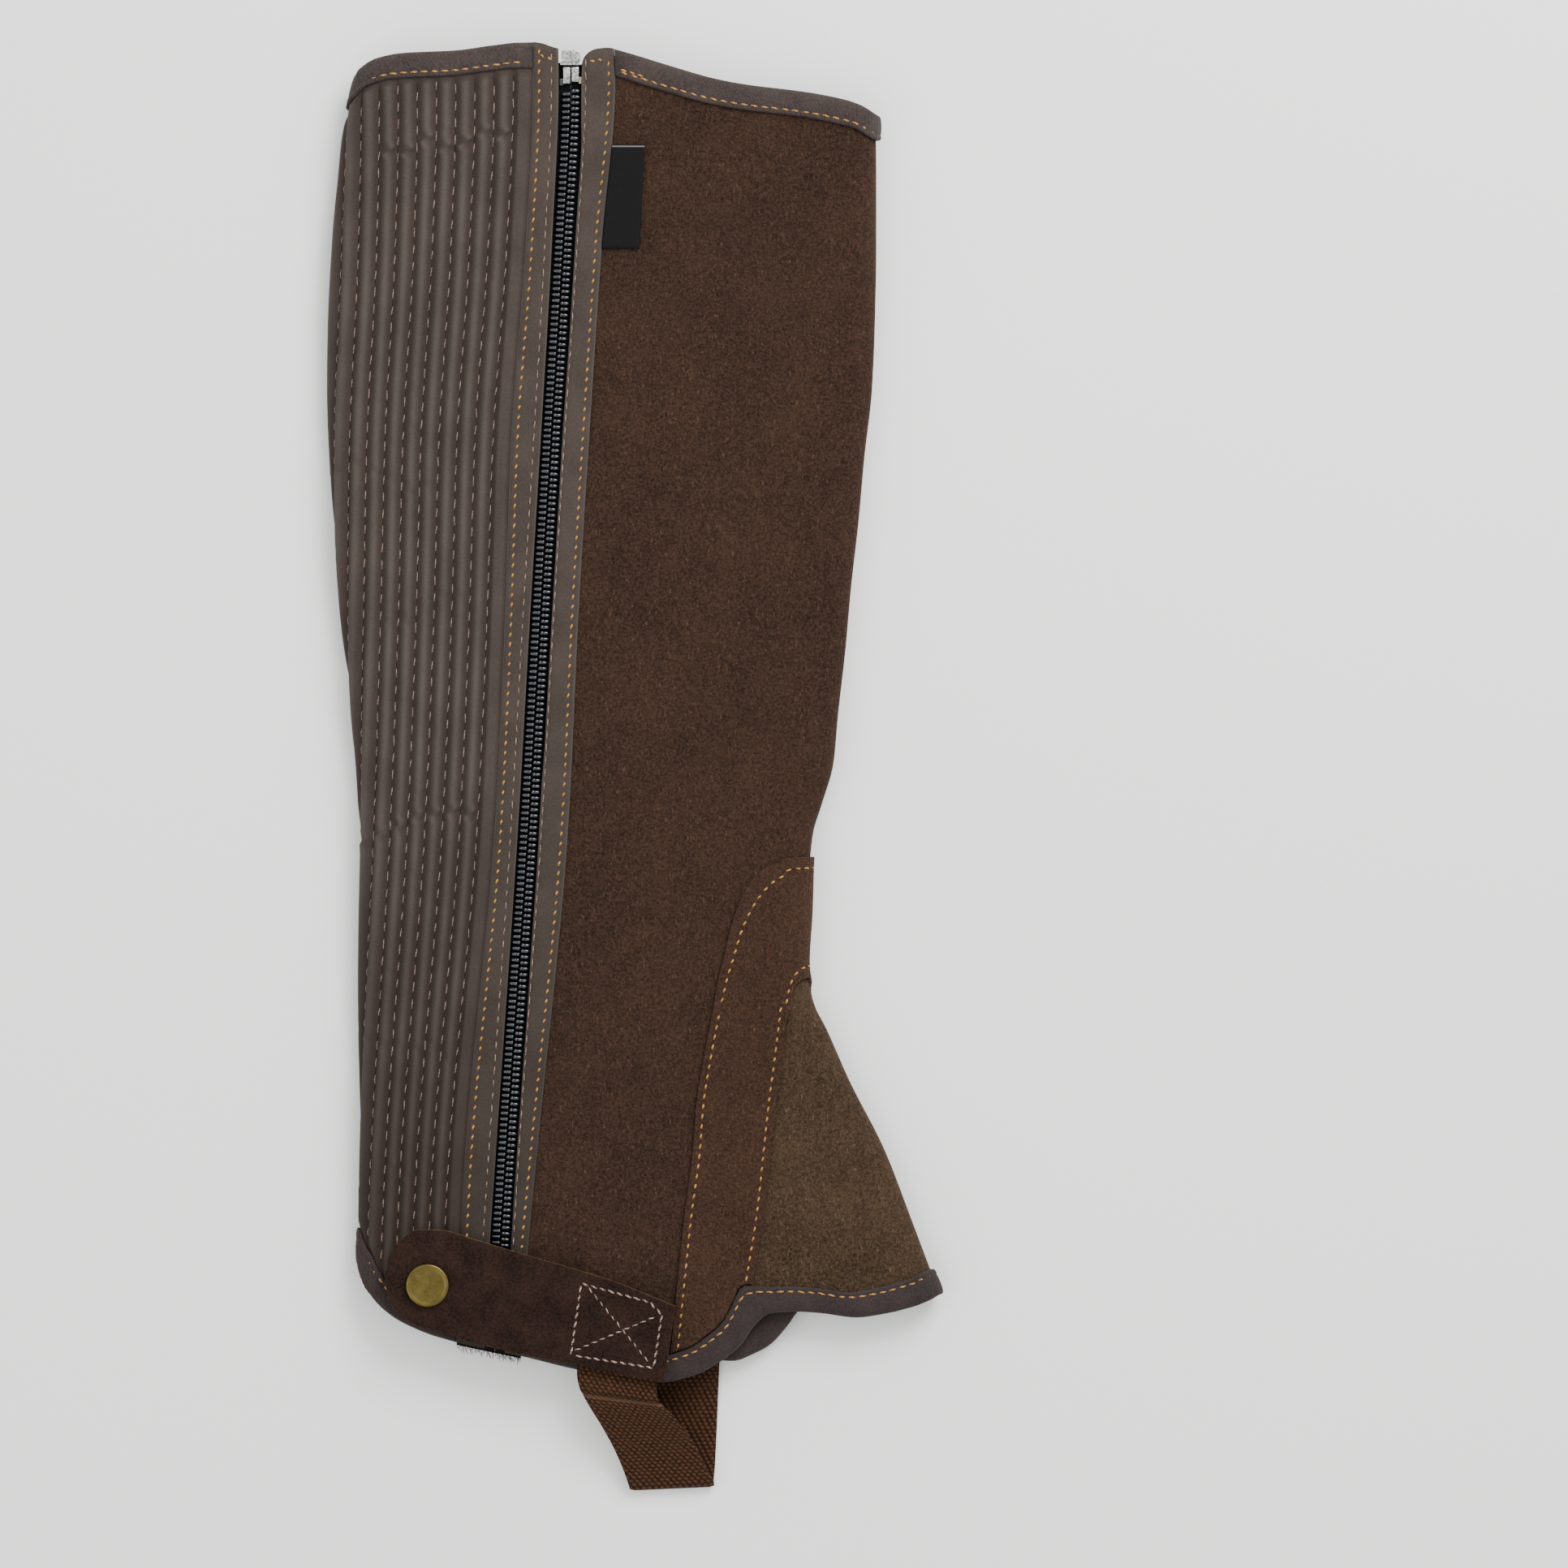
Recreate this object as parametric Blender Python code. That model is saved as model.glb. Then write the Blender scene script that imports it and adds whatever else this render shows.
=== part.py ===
"""One riding half chap of brown suede, lying flat with its outer side up.

The leg is a flattened tube: a front fold at +X, a back fold at -X, the calf mouth at +Y
and the hem over the foot at -Y. Every cloth piece is a wall laid on that tube.
"""
import math
from collections import namedtuple

import bmesh
import bpy
import numpy as np
from mathutils import Matrix, Vector

# Sizes are in millimetres, and meshes are written in metres.
MM = 0.001
CENTRE = Vector((1.18, 0.51, 0.0))

# Wall thicknesses, the gap kept at every seam, and the height of each layer over the lining side.
SUEDE = 1.4
TRIM = 1.2
SEAM = 0.3
LAYER_1 = SUEDE + SEAM
LAYER_1_TOP = LAYER_1 + TRIM
LAYER_2 = LAYER_1_TOP + SEAM
LAYER_2_TOP = LAYER_2 + TRIM
LAYER_3 = LAYER_2_TOP + SEAM
LAYER_3_TOP = LAYER_3 + TRIM
TAB_LOW = 5.0
TAB_THICK = 2.0
TAPE_LOW = -1.3
TAPE_HIGH = -SEAM

# The hollow for the leg, and how far each fold is rounded.
HOLLOW = 7.0
MOUTH_GAPE = 3.0
MOUTH_GAPE_FROM = 140.0
MOUTH_GAPE_TO = 246.0
FRONT_ROUND = 8.0
BACK_ROUND = 10.0

# Ribs of the stretch panel: how high, and how flat the panel is where another piece covers it.
RIB_VALLEY = 1.0
RIB_CREST = 2.6
RIB_COUNT = 15
RIB_SHAPE = [(0.0, 0.0), (0.3, 1.0), (0.7, 1.0)]
RIB_FADE = 2.6
RIB_ROWS = 13

# Bound edges: depth of the stretch tape on each face, and how far the panels stop short inside it.
BINDING_DEPTH = 8.5
BINDING_CLEAR = BINDING_DEPTH + 0.7
BINDING_MIDDLE = 5.5
BINDING_INNER = -1.5
EDGE_INSIDE = 2.2

# Soft rise of the lower layer over the strap's stitched end, so that the patch on it rests flat.
STRAP_RISE = 3.0
STRAP_RISE_X = 17.0
STRAP_RISE_Y = -179.0
STRAP_RISE_FULL = 26.0
STRAP_RISE_END = 92.0

# Soft crease above the instep: its two ends, depth and width.
CREASE_FROM = Vector((30.0, 16.0))
CREASE_TO = Vector((61.0, -14.0))
CREASE_DEPTH = 1.2
CREASE_WIDTH = 9.0

# Heights at which the pieces round the front fold, and those along the zip, have their rows.
FRONT_LOW = [-153, -130, -114, -98, -89, -80, -72]
FRONT_HIGH = [-57, -48, -39, -30, -21, -12, -2, 12, 30, 55, 82, 110, 140, 165, 190, 210]
ZIP_ROWS = [-160, -130, -98, -65, -30, 5, 40, 75, 110, 140, 165, 190, 215]

# The two folds: height, back fold at the rib crests, front fold at the suede's face.
Fold = namedtuple("Fold", "y back front")
FOLDS = [
    Fold(250, -91.5, 82.0), Fold(240, -93.0, 82.1), Fold(232, -94.9, 82.1),
    Fold(225, -96.9, 82.2), Fold(217, -98.8, 82.3), Fold(200, -100.4, 82.5),
    Fold(178, -102.4, 82.5), Fold(150, -103.8, 82.0),
    Fold(128, -104.0, 81.0), Fold(106, -103.5, 78.5), Fold(84, -102.5, 76.5),
    Fold(62, -100.5, 74.0), Fold(40, -98.5, 72.0), Fold(18, -96.0, 69.5),
    Fold(2, -94.5, 68.0), Fold(-12, -94.0, 64.0), Fold(-22, -93.5, 61.0),
    Fold(-32, -93.5, 60.0), Fold(-48, -93.5, 59.5), Fold(-66, -93.5, 58.5),
    Fold(-80, -93.5, 61.5), Fold(-88, -93.5, 65.5), Fold(-106, -93.5, 73.5),
    Fold(-129, -93.5, 85.2), Fold(-153, -93.5, 94.5), Fold(-215, -93.5, 117.5),
]

# The zip and the two facing strips beside it: height, and the x of each long edge.
Zip = namedtuple("Zip", "y left_out left_in centre right_in right_out")
ZIP = [
    Zip(248, -34.0, -25.2, -21.0, -16.8, -6.5), Zip(233, -34.0, -25.2, -21.0, -16.8, -6.0),
    Zip(178, -36.5, -27.5, -23.6, -19.7, -10.5), Zip(110, -41.5, -31.4, -27.8, -24.2, -15.0),
    Zip(52, -43.5, -34.9, -31.3, -27.7, -18.5), Zip(-20, -47.0, -39.0, -35.4, -31.8, -22.0),
    Zip(-130, -57.0, -46.5, -43.0, -39.5, -32.5), Zip(-168, -59.0, -49.0, -45.4, -41.8, -36.0),
    Zip(-204, -60.5, -50.8, -47.3, -43.8, -38.0),
]

# Rib spacing down the stretch panel.
Pitch = namedtuple("Pitch", "y pitch")
PITCH = [
    Pitch(248, 6.6), Pitch(178, 6.3), Pitch(110, 6.1), Pitch(-20, 5.9), Pitch(-130, 5.4),
    Pitch(-204, 5.3),
]

# The suede band on the inner side, from the stretch panel to the grip patch.
Band = namedtuple("Band", "y left right")
BAND = [
    Band(230, -79.0, -57.0), Band(178, -79.0, -56.0), Band(110, -79.0, -55.3),
    Band(52, -79.0, -53.5), Band(-8, -78.7, -50.8), Band(-42, -78.5, -53.0),
    Band(-77, -78.5, -55.0), Band(-125, -78.5, -57.0), Band(-185, -78.5, -57.5),
]

# The curved edge of the grip patch, from its top corner to its low tip.
Grip = namedtuple("Grip", "y edge")
GRIP = [
    Grip(196, -46.0), Grip(194.5, -31.5), Grip(187.5, -10.5), Grip(176.5, 10.5),
    Grip(160.5, 32.0), Grip(144, 48.0), Grip(127, 57.5), Grip(103, 65.5), Grip(83, 68.5),
    Grip(58.5, 69.0), Grip(20, 63.0), Grip(-13, 50.0), Grip(-51, 29.5), Grip(-71, 15.5),
    Grip(-88.5, 2.0), Grip(-104, -11.5), Grip(-118, -24.5), Grip(-135.5, -43.5),
    Grip(-141, -52.0),
]

# The slit for the instep gusset, under the middle of each overlay leg.
Slit = namedtuple("Slit", "y outer inner")
SLIT = [
    Slit(-65, 58.5, 58.5), Slit(-72, 51.0, 53.5), Slit(-80, 48.0, 54.5),
    Slit(-98, 45.5, 57.5), Slit(-130, 41.5, 55.5), Slit(-153, 38.0, 51.0),
    Slit(-177, 35.0, 47.5), Slit(-210, 31.0, 43.0),
]

# The overlay's two legs below the instep: height, far and near edge of the outer and inner leg.
Leg = namedtuple("Leg", "y outer_far outer_near inner_far inner_near")
LEGS = [
    Leg(-80, 27.5, 52.5, 42.5, 61.5), Leg(-98, 24.0, 50.3, 40.5, 62.5),
    Leg(-114, 21.5, 48.2, 39.0, 62.0), Leg(-130, 20.3, 46.5, 37.5, 60.0),
    Leg(-151, 17.5, 44.2, 35.7, 56.3), Leg(-175, 15.0, 40.4, 34.6, 52.3),
    Leg(-205, 12.0, 36.5, 33.8, 47.0),
]

# Where the overlay folds over the front: side, x and y of its cut edge, then of its inside edge.
Cap = namedtuple("Cap", "side x y near_side near_x near_y")
CAP = [
    Cap(1, 30.5, -65.0, 1, 54.2, -75.0), Cap(1, 34.0, -51.0, 1, 56.0, -72.3),
    Cap(1, 38.5, -40.5, 1, 58.2, -71.0), Cap(1, 45.0, -33.5, 1, 59.8, -70.8),
    Cap(1, 53.0, -30.2, 1, 60.6, -71.0), Cap(1, 63.0, -29.8, 1, 63.0, -71.6),
    Cap(-1, 57.0, -31.5, -1, 60.7, -72.8), Cap(-1, 51.5, -40.5, -1, 60.5, -74.4),
    Cap(-1, 47.5, -52.5, -1, 60.6, -76.4), Cap(-1, 44.5, -68.0, -1, 61.0, -78.4),
]

# The leather tab, a section at a time from its round end: upper edge and lower edge.
Tab = namedtuple("Tab", "upper_x upper_y lower_x lower_y")
TAB = [
    Tab(-84.0, -171.5, -84.0, -173.5), Tab(-82.6, -165.0, -82.6, -180.0),
    Tab(-78.5, -159.3, -78.5, -185.0), Tab(-72.5, -156.0, -72.5, -188.6),
    Tab(-64.5, -156.2, -64.5, -190.6), Tab(-54.0, -159.2, -54.0, -194.3),
    Tab(-36.0, -164.6, -36.0, -198.4), Tab(-21.5, -168.8, -21.5, -201.2),
    Tab(-7.0, -173.3, -8.0, -204.2), Tab(14.3, -181.8, 10.4, -207.6),
]

# The elastic strap, a section at a time: left edge, right edge, and height of its middle.
Strap = namedtuple("Strap", "left_x left_y right_x right_y z")
STRAP = [
    Strap(-18.5, -181.0, 8.0, -187.0, 13.7), Strap(-19.0, -193.0, 8.0, -198.0, 13.7),
    Strap(-19.0, -205.0, 8.0, -209.5, 13.9), Strap(-18.0, -210.0, 8.5, -214.0, 14.3),
    Strap(-15.0, -215.5, 12.5, -218.0, 13.2), Strap(-10.5, -223.0, 16.8, -223.3, 10.6),
    Strap(-6.3, -231.0, 21.3, -229.8, 7.6), Strap(-3.2, -238.5, 24.8, -237.3, 4.9),
    Strap(-1.6, -243.2, 27.0, -241.8, 3.5), Strap(-1.2, -244.6, 27.5, -243.3, 2.3),
    Strap(-1.0, -243.2, 27.3, -241.8, 1.1), Strap(-0.2, -238.0, 27.7, -237.0, 0.7),
    Strap(1.0, -222.0, 28.4, -222.0, 0.7), Strap(2.0, -207.0, 29.0, -207.0, 1.3),
    Strap(2.6, -197.0, 29.4, -197.0, 2.1), Strap(3.5, -184.0, 30.0, -184.0, 2.1),
    Strap(4.2, -162.0, 30.2, -162.0, 2.1),
]

# Outlines of the two open ends, seen from above: the outer side's, then the inner side's.
Rim = namedtuple("Rim", "x y")
MOUTH_OUTER = [
    Rim(-99, 235), Rim(-95, 235.5), Rim(-92.8, 238.2), Rim(-87.6, 241), Rim(-77, 242.7),
    Rim(-60, 243.5),
    Rim(-49, 245), Rim(-36, 246.3), Rim(-32, 246), Rim(-25, 244), Rim(-16, 243.5),
    Rim(-8.5, 244.3), Rim(-3, 243), Rim(13.5, 238), Rim(27.5, 234), Rim(38, 232),
    Rim(58, 229.5), Rim(69, 227.5), Rim(78, 225), Rim(83.5, 222),
]
MOUTH_INNER = [
    Rim(-99, 235), Rim(-95, 235.3), Rim(-91, 232), Rim(-85, 229.3), Rim(-69, 227),
    Rim(-46, 224), Rim(-27, 221.5),
    Rim(-3.5, 219), Rim(19.5, 217.5), Rim(43, 217), Rim(66, 219), Rim(83.5, 222),
]
HEM_OUTER = [
    Rim(-94, -168.5), Rim(-92.5, -174), Rim(-91, -177), Rim(-85.5, -183), Rim(-74.5, -189.5),
    Rim(-63.5, -193.5), Rim(-52.5, -196), Rim(-36, -199.5), Rim(-22, -203), Rim(-5.5, -206),
    Rim(9, -208), Rim(21, -205.5), Rim(29.5, -201), Rim(36.5, -195.5), Rim(41, -189),
    Rim(46.5, -184.5), Rim(54.5, -184), Rim(63.5, -184.5), Rim(75.5, -186), Rim(86.5, -184.5),
    Rim(94.5, -182.5), Rim(102, -180), Rim(105, -178.5),
]
HEM_INNER = [
    Rim(-94, -168.5), Rim(-82.5, -175.5), Rim(-60.5, -179.5), Rim(-41, -180.5),
    Rim(-27, -179.5), Rim(-14.5, -180.5), Rim(-4.5, -184.5), Rim(5.5, -190.5),
    Rim(15, -196.5), Rim(24, -200), Rim(34, -201), Rim(41, -198.5), Rim(46.5, -195.5),
    Rim(52, -189.5), Rim(57.5, -182.5), Rim(64.5, -179.5), Rim(74, -179), Rim(87, -179.5),
    Rim(99, -179.5), Rim(105, -178.5),
]

# Small pieces: the woven label, the stud's middle, the zip's hard parts.
LABEL_RIGHT = 4.0
LABEL_LOW = 176.5
LABEL_HIGH = 211.5
LABEL_THICK = 1.0
SNAP_X = -69.5
SNAP_Y = -174.8
CHAIN_HALF = 2.9
CHAIN_TOP = 231.3
CHAIN_END = -185.0
CHAIN_SHAPE = [(-1.0, 1.5), (-0.55, 2.3), (0.0, 1.8), (0.55, 2.3), (1.0, 1.5)]
TAPE_SPLIT = 1.3
TAPE_TAIL = 2.8
OUTER = 1
INNER = -1
RIM_REACH = 4.0
RIM_STEEP = 0.8
FOLD_SWELL = 0.5
CAP_STEP = 0.09
END_CLEAR = 0.04


class Line:
    """A smooth line through a table's points, which never swings past them."""

    def __init__(self, points):
        self.at, self.value = zip(*sorted(points))
        runs = [(b - a) for a, b in zip(self.at, self.at[1:])]
        rises = [(b - a) / run for a, b, run in zip(self.value, self.value[1:], runs)]
        self.lean = [rises[0]]
        for before, after in zip(rises, rises[1:]):
            same_way = before * after > 0
            self.lean.append(2 * before * after / (before + after) if same_way else 0.0)
        self.lean.append(rises[-1])

    def __call__(self, at):
        if at <= self.at[0]:
            return self.value[0]
        if at >= self.at[-1]:
            return self.value[-1]
        i = int(np.searchsorted(self.at, at)) - 1
        run = self.at[i + 1] - self.at[i]
        t = (at - self.at[i]) / run
        start = (1 + 2 * t) * (1 - t) ** 2 * self.value[i]
        start += t * (1 - t) ** 2 * run * self.lean[i]
        end = t * t * (3 - 2 * t) * self.value[i + 1]
        end += t * t * (t - 1) * run * self.lean[i + 1]
        return start + end


def line(rows, column, key="y"):
    return Line([(getattr(row, key), getattr(row, column)) for row in rows])


def mix(a, b, share):
    return a + (b - a) * share


def ease(share):
    """A soft step from 0 to 1."""
    share = min(1.0, max(0.0, share))
    return share * share * (3 - 2 * share)


back_fold = line(FOLDS, "back")
front_fold = line(FOLDS, "front")


def cores(y):
    """Middles of the front and back folds' rounding at height y."""
    front = front_fold(y) - SUEDE - FRONT_ROUND
    back = back_fold(y) + RIB_CREST + BACK_ROUND
    return front, back


def gap_at(y):
    return HOLLOW + MOUTH_GAPE * ease((y - MOUTH_GAPE_FROM) / (MOUTH_GAPE_TO - MOUTH_GAPE_FROM))


def crease(x, y):
    """Depth of the soft crease that runs down to the front fold."""
    way = CREASE_TO - CREASE_FROM
    share = (Vector((x, y)) - CREASE_FROM).dot(way) / way.length_squared
    off = (Vector((x, y)) - CREASE_FROM - way * share).length
    along = ease(share + 0.3) * ease(1.3 - share)
    return CREASE_DEPTH * along * math.exp(-(off / CREASE_WIDTH) ** 2)


def strap_rise(x, y):
    away = math.hypot(x - STRAP_RISE_X, y - STRAP_RISE_Y)
    return STRAP_RISE * ease((STRAP_RISE_END - away) / (STRAP_RISE_END - STRAP_RISE_FULL))


def place(turn, y, height):
    """A point on the leg, `height` over the lining side.

    turn is 0 at the front fold, 0.5 to 1.5 across the flat outer side, 2 at the back fold,
    and the same with a minus sign on the inner side.
    """
    turn = (turn + 2) % 4 - 2
    side = OUTER if turn >= 0 else INNER
    front, back = cores(y)
    half = gap_at(y) / 2
    if abs(turn) < 0.5:
        angle = math.pi * abs(turn)
        x = front + (FRONT_ROUND + height) * math.cos(angle)
        up = (half + height) * math.sin(angle)
    elif abs(turn) > 1.5:
        angle = math.pi * (2 - abs(turn))
        x = back - (BACK_ROUND + height) * math.cos(angle)
        up = (half + height) * math.sin(angle)
    else:
        x = mix(front, back, abs(turn) - 0.5)
        up = half + height
    z = LAYER_1_TOP + half + side * up
    z += strap_rise(x, y) if side == INNER else -crease(x, y)
    return Vector((x, y, z))


def turn_at(side, x, y, height=SUEDE):
    """The turn at which a face at this height lies over the point x, y."""
    front, back = cores(y)
    if x > front:
        turn = math.acos(min(1.0, (x - front) / (FRONT_ROUND + height))) / math.pi
    elif x < back:
        turn = 2 - math.acos(min(1.0, (back - x) / (BACK_ROUND + height))) / math.pi
    else:
        turn = 0.5 + (front - x) / (front - back)
    return side * turn


def grain(turn, y):
    """Millimetres round the leg per turn."""
    return (place(turn + 0.001, y, SUEDE) - place(turn - 0.001, y, SUEDE)).length / 0.002


class Edge:
    """The outline of one open end of the leg, all the way round, and lines set in from it."""

    def __init__(self, outer, inner, low, high, inward):
        rims = {OUTER: line(outer, "y", "x"), INNER: line(inner, "y", "x")}
        self.low, self.high, self.inward = low, high, inward
        self.turns = [-2 + 0.02 * i for i in range(201)]
        self.rim = [self.find(rims[OUTER if turn >= 0 else INNER], turn) for turn in self.turns]
        self.stretch = [1.0] * len(self.turns)
        self.stretch = [self.slant(turn) for turn in self.turns]

    def find(self, rim, turn):
        low, high = self.low, self.high
        for _ in range(30):
            y = (low + high) / 2
            over = y > rim(place(turn, y, LAYER_1_TOP).x)
            low, high = (low, y) if over else (y, high)
        return (low + high) / 2

    def slant(self, turn):
        """How much longer a way up the leg is than the way square to the rim."""
        reach = RIM_REACH / grain(turn, self.height(turn, 0))
        ends = [place(t, self.height(t, 0), SUEDE) for t in (turn - reach, turn + reach)]
        run = (ends[1] - ends[0]).length
        rise = min(abs(ends[1].y - ends[0].y) / run, RIM_STEEP)
        return 1 / math.sqrt(1 - rise ** 2)

    def height(self, turn, depth):
        """The height of the line that lies `depth` in from the edge."""
        turn = (turn + 2) % 4 - 2
        inset = depth * float(np.interp(turn, self.turns, self.stretch))
        return float(np.interp(turn, self.turns, self.rim)) + self.inward * inset

    def meet(self, across, depth, start):
        """Where a column, given as turn by height, meets the line `depth` in from the edge."""
        near, far = start, self.low if self.inward > 0 else self.high
        for _ in range(30):
            y = (near + far) / 2
            inside = (y - self.height(across(y), depth)) * self.inward > 0
            near, far = (y, far) if inside else (near, y)
        return (near + far) / 2


mouth = Edge(MOUTH_OUTER, MOUTH_INNER, 205.0, 250.0, -1)
hem = Edge(HEM_OUTER, HEM_INNER, -214.0, -160.0, 1)


def make_object(mesh_builder, name, material, collection):
    """Turns a closed bmesh into a named object with outward faces."""
    bmesh.ops.recalc_face_normals(mesh_builder, faces=mesh_builder.faces)
    mesh = bpy.data.meshes.new(name)
    mesh_builder.to_mesh(mesh)
    mesh_builder.free()
    mesh.shade_smooth()
    mesh.set_sharp_from_angle(angle=math.radians(35))
    mesh.materials.append(material)
    piece = bpy.data.objects.new(name, mesh)
    collection.objects.link(piece)
    return piece


def to_metres(point):
    return (point - CENTRE) * MM


def sewn(name, patches, low, high, material, collection):
    """A closed wall over patches of spots, from `low` to `high` over the lining side.

    A spot is (turn, y) or (turn, y, face height), and patches share the spots of a common edge.
    """
    build = bmesh.new()
    corners = {}
    edge_uses = {}

    def corner(spot):
        key = (round(spot[0], 4), round(spot[1], 3))
        if key not in corners:
            top = spot[2] if len(spot) > 2 else high
            outside = build.verts.new(to_metres(place(spot[0], spot[1], top)))
            inside = build.verts.new(to_metres(place(spot[0], spot[1], low)))
            corners[key] = (outside, inside)
        return key

    for patch in patches:
        for near, far in zip(patch, patch[1:]):
            for i in range(len(near) - 1):
                loop = [corner(s) for s in (near[i], near[i + 1], far[i + 1], far[i])]
                loop = [key for j, key in enumerate(loop) if key != loop[j - 1]]
                build.faces.new([corners[key][0] for key in loop])
                build.faces.new([corners[key][1] for key in reversed(loop)])
                for a, b in zip(loop, loop[1:] + loop[:1]):
                    edge_uses.setdefault(frozenset((a, b)), []).append((a, b))
    for uses in edge_uses.values():
        if len(uses) == 1:
            a, b = uses[0]
            build.faces.new([corners[b][0], corners[a][0], corners[a][1], corners[b][1]])
    return make_object(build, name, material, collection)


def swept(name, rings, material, collection):
    """A closed solid through rings of points, with a flat face at each end."""
    build = bmesh.new()
    loops = [[build.verts.new(to_metres(point)) for point in ring] for ring in rings]
    for near, far in zip(loops, loops[1:]):
        for i in range(len(near)):
            j = (i + 1) % len(near)
            build.faces.new([near[i], near[j], far[j], far[i]])
    build.faces.new(loops[0])
    build.faces.new(reversed(loops[-1]))
    return make_object(build, name, material, collection)


def columns(acrosses, low, rows, high):
    """A patch of spots: a column for each across line, with rows from its low to its high end."""
    patch = []
    for across in acrosses:
        heights = [low(across)] + rows + [high(across)]
        patch.append([(across(y), y) for y in heights])
    return patch


def even(count):
    return [i / count for i in range(count + 1)]


def between(left, right, shares):
    """Across lines that share out the way from one edge line to another."""
    return [lambda y, s=share: mix(left(y), right(y), s) for share in shares]


zip_lines = {name: line(ZIP, name) for name in Zip._fields[1:]}
band_left = line(BAND, "left")
band_right = line(BAND, "right")
rib_pitch = line(PITCH, "pitch")

SLIT_TOP = SLIT[0].y
GUSSET_TOP = SLIT_TOP - 3.5
BODY_TUCK = 2.0
BAND_TUCK = 11.0
GUSSET_GAP = 0.8
PATCH_GAP = 0.4
FOLD_SHARES = [0.0, 0.12, 0.24, 0.36, 0.48, 0.58, 0.66, 0.74, 0.81, 0.88, 0.94, 1.0]
GUSSET_SHARES = [0.0, 0.03, 0.06, 0.09, 0.13, 0.2, 0.28, 0.35, 0.4, 0.45, 0.5,
                 0.55, 0.6, 0.65, 0.72, 0.8, 0.87, 0.91, 0.94, 0.97, 1.0]


def zip_turn(name, shift=0.0, height=LAYER_1_TOP):
    return lambda y: turn_at(OUTER, zip_lines[name](y) + shift, y, height)


def inner_turn(edge_line, shift=0.0, height=LAYER_1_TOP):
    return lambda y: turn_at(INNER, edge_line(y) + shift, y, height)


def slit_edge(side, gap=0.0):
    """The slit's edge on one side, from its top at the front fold down each side of the gusset."""
    table = line(SLIT, "outer" if side == OUTER else "inner")
    heights = [-215] + FRONT_LOW + [SLIT_TOP]
    turns = [turn_at(side, table(y), y) for y in heights[:-1]] + [0.0]

    def across(y):
        turn = float(np.interp(y, heights, turns))
        return turn - side * gap / grain(turn, y)

    return across


def suede_body(material, collection):
    """The main suede piece: outer side, round the front fold, inner side, slit at the instep."""
    zip_edge = zip_turn("right_in", BODY_TUCK, SUEDE)
    band_edge = inner_turn(band_left, BAND_TUCK + SEAM, SUEDE)
    outer = between(zip_edge, slit_edge(OUTER), FOLD_SHARES)
    inner = between(band_edge, slit_edge(INNER), FOLD_SHARES)

    def above(across):
        return mouth.meet(across, EDGE_INSIDE, 150.0)

    def below(across):
        return hem.meet(across, EDGE_INSIDE, -120.0)

    def at_slit(_):
        return SLIT_TOP

    patches = []
    for half in (outer, inner):
        patches.append(columns(half, at_slit, FRONT_HIGH, above))
        patches.append(columns(half, below, FRONT_LOW, at_slit))
    return sewn("suede_body", patches, 0.0, SUEDE, material, collection)


def belt(y):
    """Turns from the zip strip round the back, and how far each lies from the strip's edge."""
    start = zip_turn("left_out")(y)
    turns = [start] + [1.5 + k / 12 for k in range(13)] + [3.3]
    spots = [place(turn, y, SUEDE) for turn in turns]
    lengths = [0.0]
    for a, b in zip(spots, spots[1:]):
        lengths.append(lengths[-1] + math.hypot(b.x - a.x, b.z - a.z))
    return turns, lengths


def ribbed_panel(material, collection):
    """The stretch panel with its ribs, from under the zip strip round the back fold."""

    def covered(y):
        turns, lengths = belt(y)
        start = float(np.interp(4 + inner_turn(band_left)(y), turns, lengths))
        end = float(np.interp(4 + inner_turn(band_left, BAND_TUCK)(y), turns, lengths))
        return start, end

    def rib_line(number):
        def across(y):
            turns, lengths = belt(y)
            start, end = covered(y)
            away = number * rib_pitch(y)
            last = RIB_COUNT * rib_pitch(y)
            if away > start:
                away = mix(start, end, (away - start) / (last - start))
            return float(np.interp(away, lengths, turns))
        return across

    def relief(number, rise, across, y, reach):
        if rise is None:
            return SUEDE
        room = min(covered(at)[0] - number * rib_pitch(at) for at in (y - reach, y, y + reach))
        show = ease(room / RIB_FADE)
        turn = across(y)
        show *= ease((mouth.height(turn, BINDING_CLEAR) - y) / RIB_FADE)
        show *= ease((y - hem.height(turn, BINDING_CLEAR)) / RIB_FADE)
        return mix(SUEDE, mix(RIB_VALLEY, RIB_CREST, rise), show)

    tuck = zip_turn("left_in", -BODY_TUCK, SUEDE)
    first = rib_line(0)
    across_lines = [(0, None, tuck), (0, None, lambda y: mix(tuck(y), first(y), 0.7))]
    for rib in range(RIB_COUNT):
        for share, rise in RIB_SHAPE:
            across_lines.append((rib + share, rise, rib_line(rib + share)))
    across_lines.append((RIB_COUNT, 0.0, rib_line(RIB_COUNT)))
    patch = []
    for number, rise, across in across_lines:
        low = [hem.meet(across, depth, -120.0) for depth in
               (EDGE_INSIDE, BINDING_CLEAR, BINDING_CLEAR + RIB_FADE)]
        high = [mouth.meet(across, depth, 150.0) for depth in
                (BINDING_CLEAR + RIB_FADE, BINDING_CLEAR, BINDING_MIDDLE, EDGE_INSIDE)]
        inner_rows = [mix(low[-1], high[0], share) for share in even(RIB_ROWS)[1:-1]]
        reach = (high[0] - low[-1]) / RIB_ROWS
        rows = low + inner_rows + high
        patch.append([(across(y), y, relief(number, rise, across, y, reach)) for y in rows])
    return sewn("ribbed_panel", [patch], 0.0, SUEDE, material, collection)


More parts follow.
